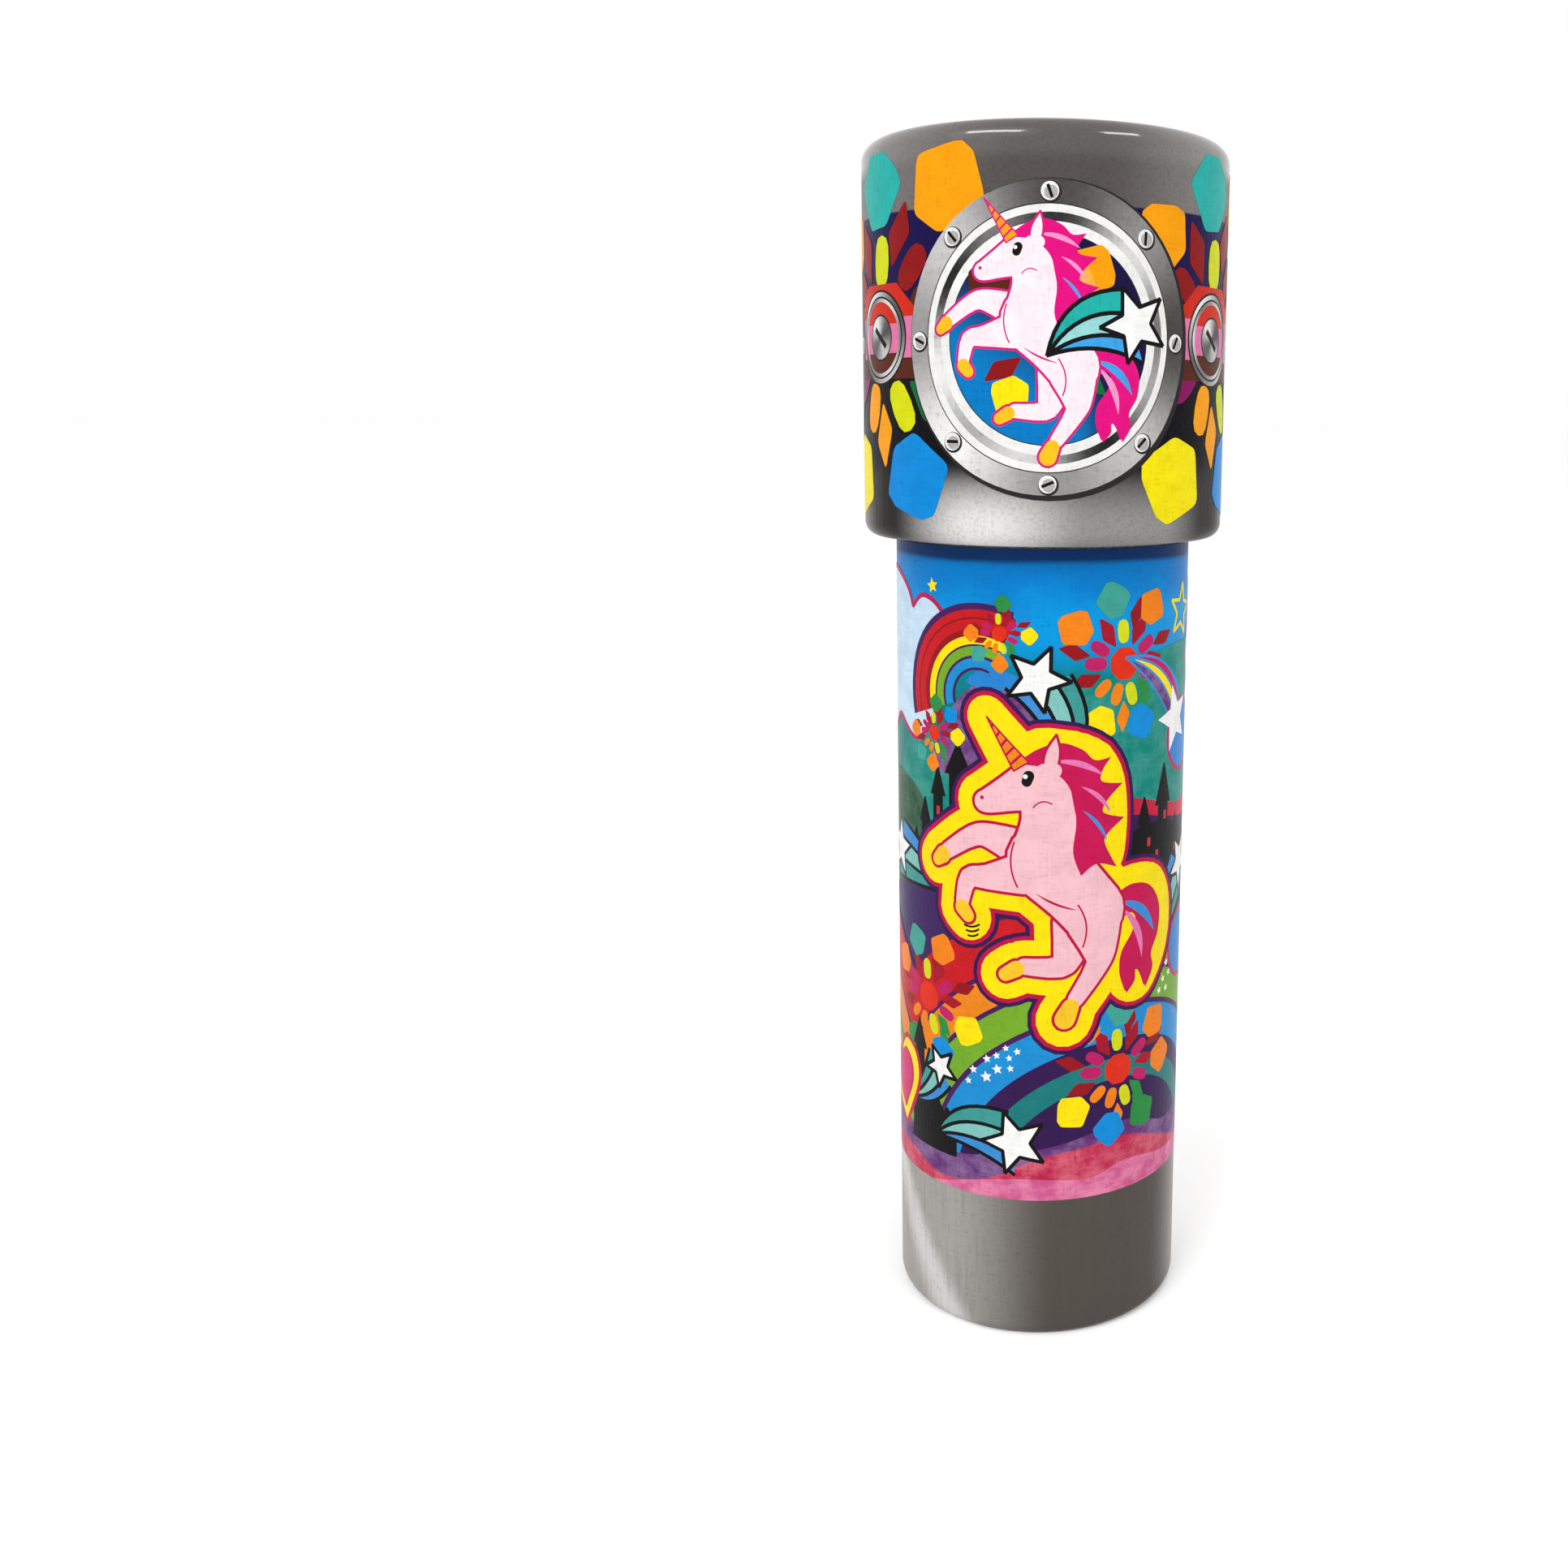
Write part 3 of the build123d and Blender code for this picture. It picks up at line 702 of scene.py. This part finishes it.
        left = (-5.7 - 3.0 * low, 12.3 + 5.7 * low)
        right = (-4.1 - 4.6 * (low + 0.05), 13.3 + 4.7 * (low + 0.05))
        sheet.line(edge, spot([left, right]), 0.28 * size)
    grown("black", [[(-4.3, 11.2, 0.55), (-4.1, 11.8, 0.6)]], 0.0)
    sheet.add("white", disc(u - 4.45 * size, z + 11.75 * size, 0.26 * size, 10))
    sheet.add(edge, disc(u - 9.2 * size, z + 9.2 * size, 0.24 * size, 8))


unicorn(tube_sheet, 3.8, 70.7, 1.34, "crimson_line",
        [("deep_purple", 4.0), ("crimson_line", 3.4), ("yellow", 2.75)])
for i in range(3):
    mark = bow((-11.4 + 0.3 * i, 63.7 - 0.75 * i), (-8.9 - 0.1 * i, 64.1 - 0.75 * i), -0.25)
    tube_sheet.line("black", mark, 0.3)

TUBE_INKS = {
    "black": (20, 18, 18), "white": (242, 242, 240), "teal_hill": (0, 136, 124), "ridge_red": (196, 30, 62),
    "deep_purple": (52, 24, 78), "hill_green": (22, 78, 48), "cloud": (196, 222, 242),
    "magenta_line": (186, 26, 92), "pond_blue": (40, 130, 205), "purple_line": (70, 30, 92),
    "red": (198, 26, 34), "orange": (232, 132, 28), "green": (116, 168, 42), "blue": (28, 140, 206),
    "teal_dark": (28, 120, 120), "wash_purple": (104, 48, 122), "wash_red": (198, 32, 78),
    "wash_pink": (216, 92, 146), "window_glow": (196, 52, 60), "dark_red": (150, 20, 30),
    "yellow": (250, 222, 8), "lime": (212, 218, 22), "crimson": (164, 20, 42), "gem_magenta": (188, 30, 98),
    "gem_orange": (240, 130, 24), "gem_green": (42, 140, 66), "gem_red": (222, 48, 26),
    "gem_blue": (12, 140, 214), "gem_teal": (64, 160, 146), "teal": (62, 150, 144),
    "light_teal": (126, 190, 184), "comet_blue": (60, 140, 210), "crimson_line": (190, 16, 68),
    "magenta": (208, 30, 110), "coat": (240, 188, 196), "mane": (196, 20, 82), "mane_pink": (228, 120, 176),
    "hoof": (246, 196, 40),
}
# How much each ink varies from patch to patch.
EVEN = 0.03
WATERY = {"wash_purple": 0.1, "wash_red": 0.1, "wash_pink": 0.12, "cloud": 0.06, "teal_hill": 0.06,
          "hill_green": 0.06}


def print_ink(name, colour, patchy=EVEN):
    """One flat ink: a little lighter and darker in patches, with painted shade in the linen's low threads."""
    finish = laminate(name)
    threads = linen(finish)
    finish.bump(threads, EMBOSS_DEPTH)
    patches = finish.noise(finish.stretched(260, 260, 340), 4.0, 0.6)
    full = shade(colour, 1.0 - patchy * 1.4)
    thin = tuple(c + (1.0 - c) * (patchy - EVEN) for c in shade(colour, 1.05))
    flat = finish.mix(full, thin, finish.step(patches, 0.34, 0.66))
    # Painted shade: the ink is darkened in the low threads of the film's linen emboss.
    finish.feed("Base Color", finish.mix(shade(colour, 0.8), flat, finish.step(threads, 0.2, 0.54)))
    return finish.material


tube_finishes = {ink: print_ink(f"tube_{ink}", linear(colour), WATERY.get(ink, EVEN))
                 for ink, colour in TUBE_INKS.items()}
tube_sheet.lay("body", "tube_print", tube_finishes)


# ==== Cap label, ground colours
# The turning cap's label: dark brushed grey at both ends and a night-blue belt between. Its paper rolls
# in over both ends of the card; the mouth's roll is crinkled and has a lap where the paper meets.
CAP_R = 26.6
CAP_REPEATS = 3
PORT_U, PORT_Z = 0.6, 146.3
metal_print = laminate("cap_label_ground")
cap_across, cap_up = around_tube(metal_print, CAP_R, CAP_REPEATS, PORT_U)
top_light = metal_print.step(cap_across, 6.0, 24.0)
top_grey = metal_print.mix(linear((84, 79, 76)), linear((128, 124, 121)), top_light)
top_grey = metal_print.mix(top_grey, linear((120, 115, 112)), metal_print.step(cap_across, -4.0, -26.0))
low_light = metal_print.step(cap_across, -25.0, -10.0) - metal_print.step(cap_across, -8.0, 6.0, 0.0, 0.64)
low_light = low_light * metal_print.step(cap_up, 131.0, 122.0)
low_grey = metal_print.mix(linear((36, 33, 32)), linear((226, 224, 221)), low_light)
low_grey = metal_print.mix(low_grey, linear((50, 46, 44)), metal_print.step(cap_across, 17.0, 27.0))
night = metal_print.mix(linear((8, 7, 16)), linear((20, 10, 74)), metal_print.step(cap_up, 140.0, 157.0))
cap_ground = metal_print.mix(low_grey, night, metal_print.step(cap_up, 127.0, 131.5))
cap_ground = metal_print.mix(cap_ground, top_grey, metal_print.step(cap_up, 163.3, 163.6))
cap_grain = metal_print.noise(metal_print.stretched(2300, 2300, 2300), 2.0)
grain_dark = shade(linear((60, 56, 54)), 0.5)
cap_ground = metal_print.mix(grain_dark, cap_ground, metal_print.step(cap_grain, 0.25, 0.6, 0.8, 1.0))

cap_x, cap_y, _ = metal_print.parts(metal_print.place())
cap_turned = cap_x.math("ARCTAN2", cap_y * -1.0)
cap_out = (cap_x * cap_x + cap_y * cap_y).math("SQRT") * 1000.0
rolled = metal_print.step(cap_out, 26.3, 24.6) * metal_print.step(cap_up, 160.0, 161.0)
ray = metal_print.node("ShaderNodeCombineXYZ", inputs=[cap_turned * 26.0, cap_up * 0.35, 0.0])
near_lap = metal_print.step((cap_turned + 0.5).math("ABSOLUTE"), 0.75, 0.05)
crinkle = metal_print.noise(ray, 3.0, 0.65) * rolled * (near_lap * 0.3 + 1.0)
lap = metal_print.step(cap_turned, -0.50, -0.47) * metal_print.step(cap_turned, -0.12, -0.40) * rolled
lap_edge = metal_print.step((cap_turned + 0.485).math("ABSOLUTE"), 0.016, 0.004) * rolled
cap_ground = metal_print.mix(cap_ground, linear((206, 202, 198)), metal_print.step(crinkle, 0.56, 0.72) * 0.5)
cap_ground = metal_print.mix(cap_ground, linear((24, 22, 22)), lap_edge * 0.85)
metal_print.feed("Base Color", cap_ground)
metal_print.feed("Coat Weight", metal_print.step(cap_up, 168.5, 171.0, 0.05, 1.0))
metal_print.bump(linen(metal_print) + crinkle * 9.0 + lap * 5.0, EMBOSS_DEPTH)
metal_print.dress("cap_wrap")


# ==== Cap label, motifs
# Printed on the cap three times round: a riveted porthole with a unicorn leaping out of it, a bar from
# porthole to porthole under a round boss, and cut stones set about each boss.
cap_sheet = MotifSheet(CAP_R, CAP_REPEATS, 121.4, 171.6)
half_round = cap_sheet.tile / 2
BOSS_U, BOSS_Z = PORT_U + half_round, 147.0

BOSS_STONES = [
    ("teal", STONE, -2, 19.8, 11.4), ("orange", STONE, 35, 23.2, 12.0), ("orange", STONE, -41, 17.4, 9.0),
    ("blue", STONE, 157, 20.4, 12.0), ("yellow", STONE, 204, 20.8, 12.0),
    ("dark_red", LOZENGE, 20, 14.4, 7.6), ("dark_red", ROD, 40, 11.8, 6.8), ("lime", ROD, 3, 10.2, 7.0),
    ("dark_red", LOZENGE, -22, 12.4, 7.4), ("dark_red", ROD, -46, 9.8, 6.0), ("orange", ROD, 194, 9.9, 7.0),
    ("orange", LOZENGE, 176, 13.4, 7.6), ("lime", ROD, 150, 10.8, 7.4), ("green", LOZENGE, 130, 14.0, 8.0),
    ("magenta", ROD, 228, 9.2, 6.2), ("brown", LOZENGE, 62, 11.0, 6.0), ("brown", LOZENGE, 248, 12.6, 6.0),
]
gems_round(cap_sheet, BOSS_U, BOSS_Z, BOSS_STONES)


def bar(sheet, ink, foot_half, foot_up, top_half, top_up):
    """A straight piece of the bar under the boss, given from the boss's middle."""
    low, high = BOSS_Z + foot_up, BOSS_Z + top_up
    sheet.add(ink, [(BOSS_U - foot_half, low), (BOSS_U + foot_half, low), (BOSS_U + top_half, high),
                    (BOSS_U - top_half, high)])


bar(cap_sheet, "red", 9.6, 2.6, 4.4, 7.2)
bar(cap_sheet, "brown", 9.0, -5.6, 9.0, -2.6)
bar(cap_sheet, "pink", 14.0, -2.8, 14.0, 2.7)
for reach, ink in ((6.5, "black"), (6.2, "boss_metal"), (5.6, "black"), (5.35, "boss_rim"), (4.85, "brown")):
    cap_sheet.add(ink, disc(BOSS_U, BOSS_Z, reach, 40))
cap_sheet.add("red", arc(BOSS_U, BOSS_Z, 4.85, 22, 158, 16))
cap_sheet.add("pink", arc(BOSS_U, BOSS_Z, 4.85, -26, 22, 8) + arc(BOSS_U, BOSS_Z, 4.85, 158, 206, 8))
cap_sheet.add("black", disc(BOSS_U, BOSS_Z, 3.2, 32))
cap_sheet.add("boss_metal", disc(BOSS_U, BOSS_Z, 2.95, 32))
cap_sheet.line("black", placed([(-1.9, 0), (1.9, 0)], BOSS_U, BOSS_Z, 1.0, -38), 0.8)

cap_sheet.add("shadow", disc(PORT_U + 0.3, PORT_Z - 0.3, 20.7, 64))
for reach, ink in ((20.3, "plate_metal"), (17.35, "shadow"), (17.2, "rim_white"), (16.2, "groove_metal"),
                   (15.05, "rim_white"), (13.75, "shadow"), (13.6, "port_night")):
    cap_sheet.add(ink, disc(PORT_U, PORT_Z, reach, 72))
gems_round(cap_sheet, PORT_U, PORT_Z, [
    ("brown", STONE, 311, 10.6, 6.4), ("orange", STONE, 32, 10.6, 6.6), ("port_amber", STONE, 26, 7.6, 6.0),
    ("dark_red", LOZENGE, 238, 7.2, 5.0), ("yellow", STONE, 214, 8.8, 5.6), ("green", LOZENGE, 110, 5.2, 3.8),
    ("lime_pale", LOZENGE, 98, 8.8, 3.4), ("green", LOZENGE, 132, 8.4, 3.6),
    ("blue", LOZENGE, 158, 8.6, 4.0)])
for i in range(8):
    screw = arc(PORT_U, PORT_Z, 18.8, 45 * i, 45 * i + 1, 1)[0]
    cap_sheet.add("shadow", disc(screw[0] + 0.12, screw[1] - 0.12, 1.4, 18))
    cap_sheet.add("rim_white", disc(*screw, 1.2, 18))
    cap_sheet.add("screw_grey", disc(screw[0] + 0.15, screw[1] - 0.15, 0.9, 16))
    cap_sheet.line("black", placed([(-0.8, 0), (0.8, 0)], *screw, 1.0, 64 + 23 * i), 0.42)

unicorn(cap_sheet, PORT_U, PORT_Z, 1.0, "magenta_line")
comet(cap_sheet, (PORT_U + 12.0, PORT_Z + 2.2), 5.2, (PORT_U - 0.2, PORT_Z - 2.0), -0.30, BLUE_TAIL)


def turned_metal(name, dark, light, middle_u, middle_z, lobes):
    """Printed metal shine that turns round a point: brighter and darker rays."""
    finish = laminate(name)
    threads = linen(finish)
    finish.bump(threads, EMBOSS_DEPTH)
    across, up = around_tube(finish, CAP_R, CAP_REPEATS, PORT_U + middle_u)
    angle = (up - middle_z).math("ARCTAN2", across)
    shine = finish.noise(finish.stretched(1500, 1500, 1500), 2.0) * 0.12 + 0.44
    for count, at, strength in lobes:
        shine = shine + (angle * float(count) - math.radians(at * count)).math("COSINE") * strength
    colour = finish.mix(linear(dark), linear(light), shine.math("MAXIMUM", 0.0).math("POWER", 1.6))
    # Painted shade: the colour is darkened in the low threads of the film's linen emboss.
    lines = finish.step(threads, 0.24, 0.50, 0.7, 1.0)
    finish.feed("Base Color", finish.mix(shade(linear(dark), 0.6), colour, lines))
    return finish.material


CAP_INKS = {
    "teal": (34, 174, 166), "orange": (248, 160, 8), "blue": (8, 136, 214), "yellow": (244, 226, 8),
    "dark_red": (142, 20, 22), "lime": (212, 218, 10), "green": (14, 108, 56), "magenta": (136, 14, 92),
    "brown": (88, 36, 20), "red": (206, 42, 24), "pink": (224, 118, 166), "black": (20, 18, 20),
    "shadow": (44, 40, 42), "rim_white": (236, 236, 234), "port_amber": (246, 176, 66),
    "lime_pale": (132, 196, 120), "screw_grey": (176, 174, 172), "light_teal": (150, 214, 212),
    "comet_blue": (60, 160, 226), "white": (246, 246, 245), "coat": (248, 232, 238),
    "magenta_line": (214, 30, 120), "mane": (226, 12, 128), "mane_pink": (240, 150, 200),
    "hoof": (248, 190, 30),
}
cap_finishes = {ink: print_ink(f"cap_{ink}", linear(colour)) for ink, colour in CAP_INKS.items()}
cap_finishes["plate_metal"] = turned_metal("port_plate", (66, 62, 60), (238, 237, 235), 0.0, PORT_Z,
                                           ((1, 222, 0.28), (4, 135, 0.22)))
cap_finishes["groove_metal"] = turned_metal("port_groove", (30, 28, 28), (232, 231, 229), 0.0, PORT_Z,
                                            ((1, 250, 0.12), (2, 35, 0.30), (5, 190, 0.24)))
cap_finishes["boss_metal"] = turned_metal("boss_metal", (70, 66, 64), (240, 240, 238), half_round, BOSS_Z,
                                          ((2, 125, 0.34), (1, 150, 0.12)))
cap_finishes["boss_rim"] = turned_metal("boss_rim", (110, 106, 104), (246, 246, 244), half_round, BOSS_Z,
                                        ((3, 60, 0.30),))
port = laminate("port_night")
port_threads = linen(port)
port.bump(port_threads, EMBOSS_DEPTH)
port_across, port_up = around_tube(port, CAP_R, CAP_REPEATS, PORT_U)
glow = (port_across * 0.55 + (port_up - PORT_Z) * 0.85) * -1.0
port_colour = port.mix(linear((22, 18, 62)), linear((0, 122, 194)), port.step(glow, -2.5, 9.0))
port_colour = port.mix(port_colour, linear((26, 18, 66)), port.step(port_across, 3.0, 9.0))
# Painted shade: the colour is darkened in the low threads of the film's linen emboss.
port_weave_shade = port.step(port_threads, 0.2, 0.56, 0.7, 1.0)
port.feed("Base Color", port.mix(linear((10, 10, 30)), port_colour, port_weave_shade))
cap_finishes["port_night"] = port.material
cap_sheet.lay("cap", "cap_print", cap_finishes)


# ==== Eyepiece and dark card
# Black-dyed card: the disc with the eye hole, the rings that hold the lens and the prism's window, and
# the chamber's two rings. Matt, with the dye a little uneven. The wall inside the cap's mouth is glossy.
dark_card = Finish("black_dyed_card", Roughness=0.78)
dye = dark_card.noise(dark_card.stretched(700, 700, 1100), 3.0)
dark_card.feed("Base Color", dark_card.mix(linear((24, 23, 24)), linear((48, 46, 46)), dye))
dark_card.bump(dye, 0.05 * MM)
dark_card.dress("eyepiece_disc", "lens_seat_ring", "lens_clamp_ring", "prism_window_ring", "chamber_spacer",
                "chamber_retainer")

liner_card = Finish("glossy_black_liner", Roughness=0.34, Coat_Weight=0.4, Coat_Roughness=0.2)
liner_marks = liner_card.noise(liner_card.stretched(240, 240, 900), 4.0)
liner_card.feed("Base Color", liner_card.mix(linear((16, 15, 18)), linear((44, 40, 44)), liner_marks))
liner_card.feed("Roughness", liner_card.step(liner_marks, 0.3, 0.7, 0.26, 0.5))
liner_card.bump(liner_marks, 0.08 * MM)
liner_card.dress("mouth_liner")


# ==== Clear discs and lens
# Pressed clear plastic with faint moulding waves and a few dull rubs. The flat discs are thin enough to
# see straight through; the lens is thick and bends what is behind it.
sheet_clear = Finish("clear_sheet", Alpha=0.1, Specular_IOR_Level=1.0, Coat_Weight=1.0, Coat_Roughness=0.04)
sheet_haze = sheet_clear.noise(sheet_clear.stretched(160, 160, 160), 3.0)
sheet_clear.feed("Base Color", sheet_clear.mix((0.02, 0.025, 0.03), (0.05, 0.055, 0.06), sheet_haze))
sheet_clear.feed("Roughness", sheet_clear.step(sheet_haze, 0.45, 0.75, 0.05, 0.25))
sheet_clear.bump(sheet_haze, 0.02 * MM)
sheet_clear.dress("prism_window", "chamber_inner_disc", "window_disc")

lens_clear = Finish("clear_lens", Transmission_Weight=1.0, IOR=1.49)
lens_haze = lens_clear.noise(lens_clear.stretched(160, 160, 160), 3.0)
lens_clear.feed("Base Color", lens_clear.mix((0.9, 0.94, 0.95), (0.97, 0.98, 0.98), lens_haze))
lens_clear.feed("Roughness", lens_clear.step(lens_haze, 0.45, 0.75, 0.03, 0.12))
lens_clear.dress("eyepiece_lens")


# ==== Mirror prism
# Three silvered strips with the bright side in, held as a triangle by bands of silver tape. The glass
# is faintly grey, with finger smears that dull it here and there.
mirror = Finish("mirror_strip", Metallic=1.0)
smear = mirror.noise(mirror.stretched(90, 90, 40), 3.0)
mirror.feed("Base Color", mirror.mix(linear((214, 218, 220)), linear((236, 238, 240)), smear))
mirror.feed("Roughness", mirror.step(smear, 0.45, 0.8, 0.03, 0.14))
mirror.dress("mirror_floor", "mirror_right", "mirror_left")

tape = Finish("silver_tape", Metallic=0.4)
weave = tape.noise(tape.stretched(1800, 1800, 1200), 2.0)
tape.feed("Base Color", tape.mix(linear((150, 151, 154)), linear((190, 191, 194)), weave))
tape.feed("Roughness", tape.step(weave, 0.3, 0.7, 0.34, 0.55))
tape.bump(weave, 0.06 * MM)
tape.dress("mirror_tape_bands")


# ==== Window panes
# Glass paint in yellow, blue and red between raised dark lines, brushed on by hand under the window.
# Each colour is streaked, thicker along one brush stroke than the next.
leading = Finish("window_leading", Roughness=0.5)
bead_height = leading.noise(leading.stretched(600, 600, 600), 3.0)
leading.feed("Base Color", leading.mix(linear((26, 34, 30)), linear((52, 62, 56)), bead_height))
leading.bump(bead_height, 0.12 * MM)
leading.dress("window_leading")


def glass_paint(name, thin, thick, streak_across, streak_along):
    paint = Finish(name, Transmission_Weight=0.12, IOR=1.45)
    strokes = paint.noise(paint.stretched(streak_across, streak_along, 300), 4.0, 0.65)
    patches = paint.noise(paint.stretched(130, 130, 130), 3.0)
    laid = strokes * 0.6 + patches * 0.4
    thin_paint, thick_paint = shade(linear(thin), 1.4), shade(linear(thick), 1.4)
    paint.feed("Base Color", paint.mix(thin_paint, thick_paint, paint.step(laid, 0.34, 0.62)))
    paint.feed("Roughness", paint.step(laid, 0.3, 0.7, 0.18, 0.42))
    paint.bump(laid, 0.1 * MM)
    return paint


glass_paint("yellow_glass_paint", (255, 230, 10), (226, 170, 0), 700, 110).dress("window_film_yellow")
glass_paint("blue_glass_paint", (0, 146, 236), (0, 70, 170), 120, 640).dress("window_film_blue")
glass_paint("red_glass_paint", (238, 40, 66), (134, 8, 32), 560, 150).dress("window_film_red")


# ==== Loose pieces
# What tumbles in the chamber: four cut acrylic gems, two short glass rods, two seed beads and a star.
# All are clear or milky plastic and glass, moulded in one colour, with small swirls in it.
def clear_colour(name, pale, deep, clearness, roughness, piece):
    made = Finish(name, Transmission_Weight=clearness, IOR=1.5)
    swirl = made.noise(made.stretched(420, 420, 420), 3.0)
    made.feed("Base Color", made.mix(linear(pale), linear(deep), swirl))
    made.feed("Roughness", made.step(swirl, 0.3, 0.7, roughness * 0.6, roughness * 1.5))
    made.bump(swirl, 0.02 * MM)
    made.dress(piece)


clear_colour("ruby_acrylic", (236, 70, 92), (168, 6, 34), 0.85, 0.05, "gem_ruby")
clear_colour("topaz_acrylic", (255, 206, 96), (222, 138, 10), 0.85, 0.05, "gem_topaz")
clear_colour("emerald_acrylic", (88, 208, 130), (4, 120, 62), 0.85, 0.05, "gem_emerald")
clear_colour("sapphire_acrylic", (96, 150, 240), (12, 50, 170), 0.85, 0.05, "gem_sapphire")
clear_colour("pink_glass", (250, 150, 190), (224, 70, 140), 0.7, 0.08, "rod_pink")
clear_colour("turquoise_glass", (120, 226, 220), (10, 160, 164), 0.7, 0.08, "rod_turquoise")
clear_colour("orange_glass", (252, 160, 70), (226, 96, 12), 0.35, 0.12, "bead_orange")
clear_colour("violet_glass", (176, 120, 220), (104, 40, 160), 0.35, 0.12, "bead_violet")
clear_colour("milky_plastic", (250, 248, 240), (226, 222, 214), 0.15, 0.25, "star_white")


# ==== Floor and light
# A plain pale floor that runs on far past the view under a white sky, a broad soft light high on the left
# and two smaller soft boxes whose shine shows in the film.
FLOOR_REACH = 60.0
floor_edge = [(FLOOR_REACH * math.cos(i * math.pi / 24), FLOOR_REACH * math.sin(i * math.pi / 24), 0)
              for i in range(48)]
floor_mesh = bpy.data.meshes.new("floor")
floor_mesh.from_pydata(floor_edge, [], [list(range(48))])
floor = bpy.data.objects.new("floor", floor_mesh)
bpy.context.scene.collection.objects.link(floor)
pale = Finish("pale_floor", Roughness=0.9, Specular_IOR_Level=0.1)
pale.feed("Base Color", (0.94, 0.94, 0.94))
floor_mesh.materials.append(pale.material)

world = bpy.data.worlds.new("studio")
world.use_nodes = True
world.node_tree.nodes["Background"].inputs["Color"].default_value = (1.0, 1.0, 1.0, 1.0)
world.node_tree.nodes["Background"].inputs["Strength"].default_value = 1.0
bpy.context.scene.world = world


def shine_on(name, kind, place, aim, power, **settings):
    light = bpy.data.lights.new(name, kind)
    light.energy = power
    for key, value in settings.items():
        setattr(light, key, value)
    lamp = bpy.data.objects.new(name, light)
    lamp.location = place
    lamp.rotation_euler = (Vector(aim) - Vector(place)).to_track_quat("-Z", "Y").to_euler()
    bpy.context.scene.collection.objects.link(lamp)


cap_middle = (0, 0, 0.16)
shine_on("key_light", "SUN", (-1.0, -1.4, 1.3), (0, 0, 0.1), 0.3, angle=0.9)
shine_on("left_box", "AREA", (-0.50, -0.72, 0.88), cap_middle, 5.6, shape="RECTANGLE", size=0.62, size_y=0.2)
shine_on("right_box", "AREA", (0.74, -0.60, 0.88), cap_middle, 3.6, shape="RECTANGLE", size=0.44, size_y=0.18)
bpy.context.scene.view_settings.view_transform = "Standard"
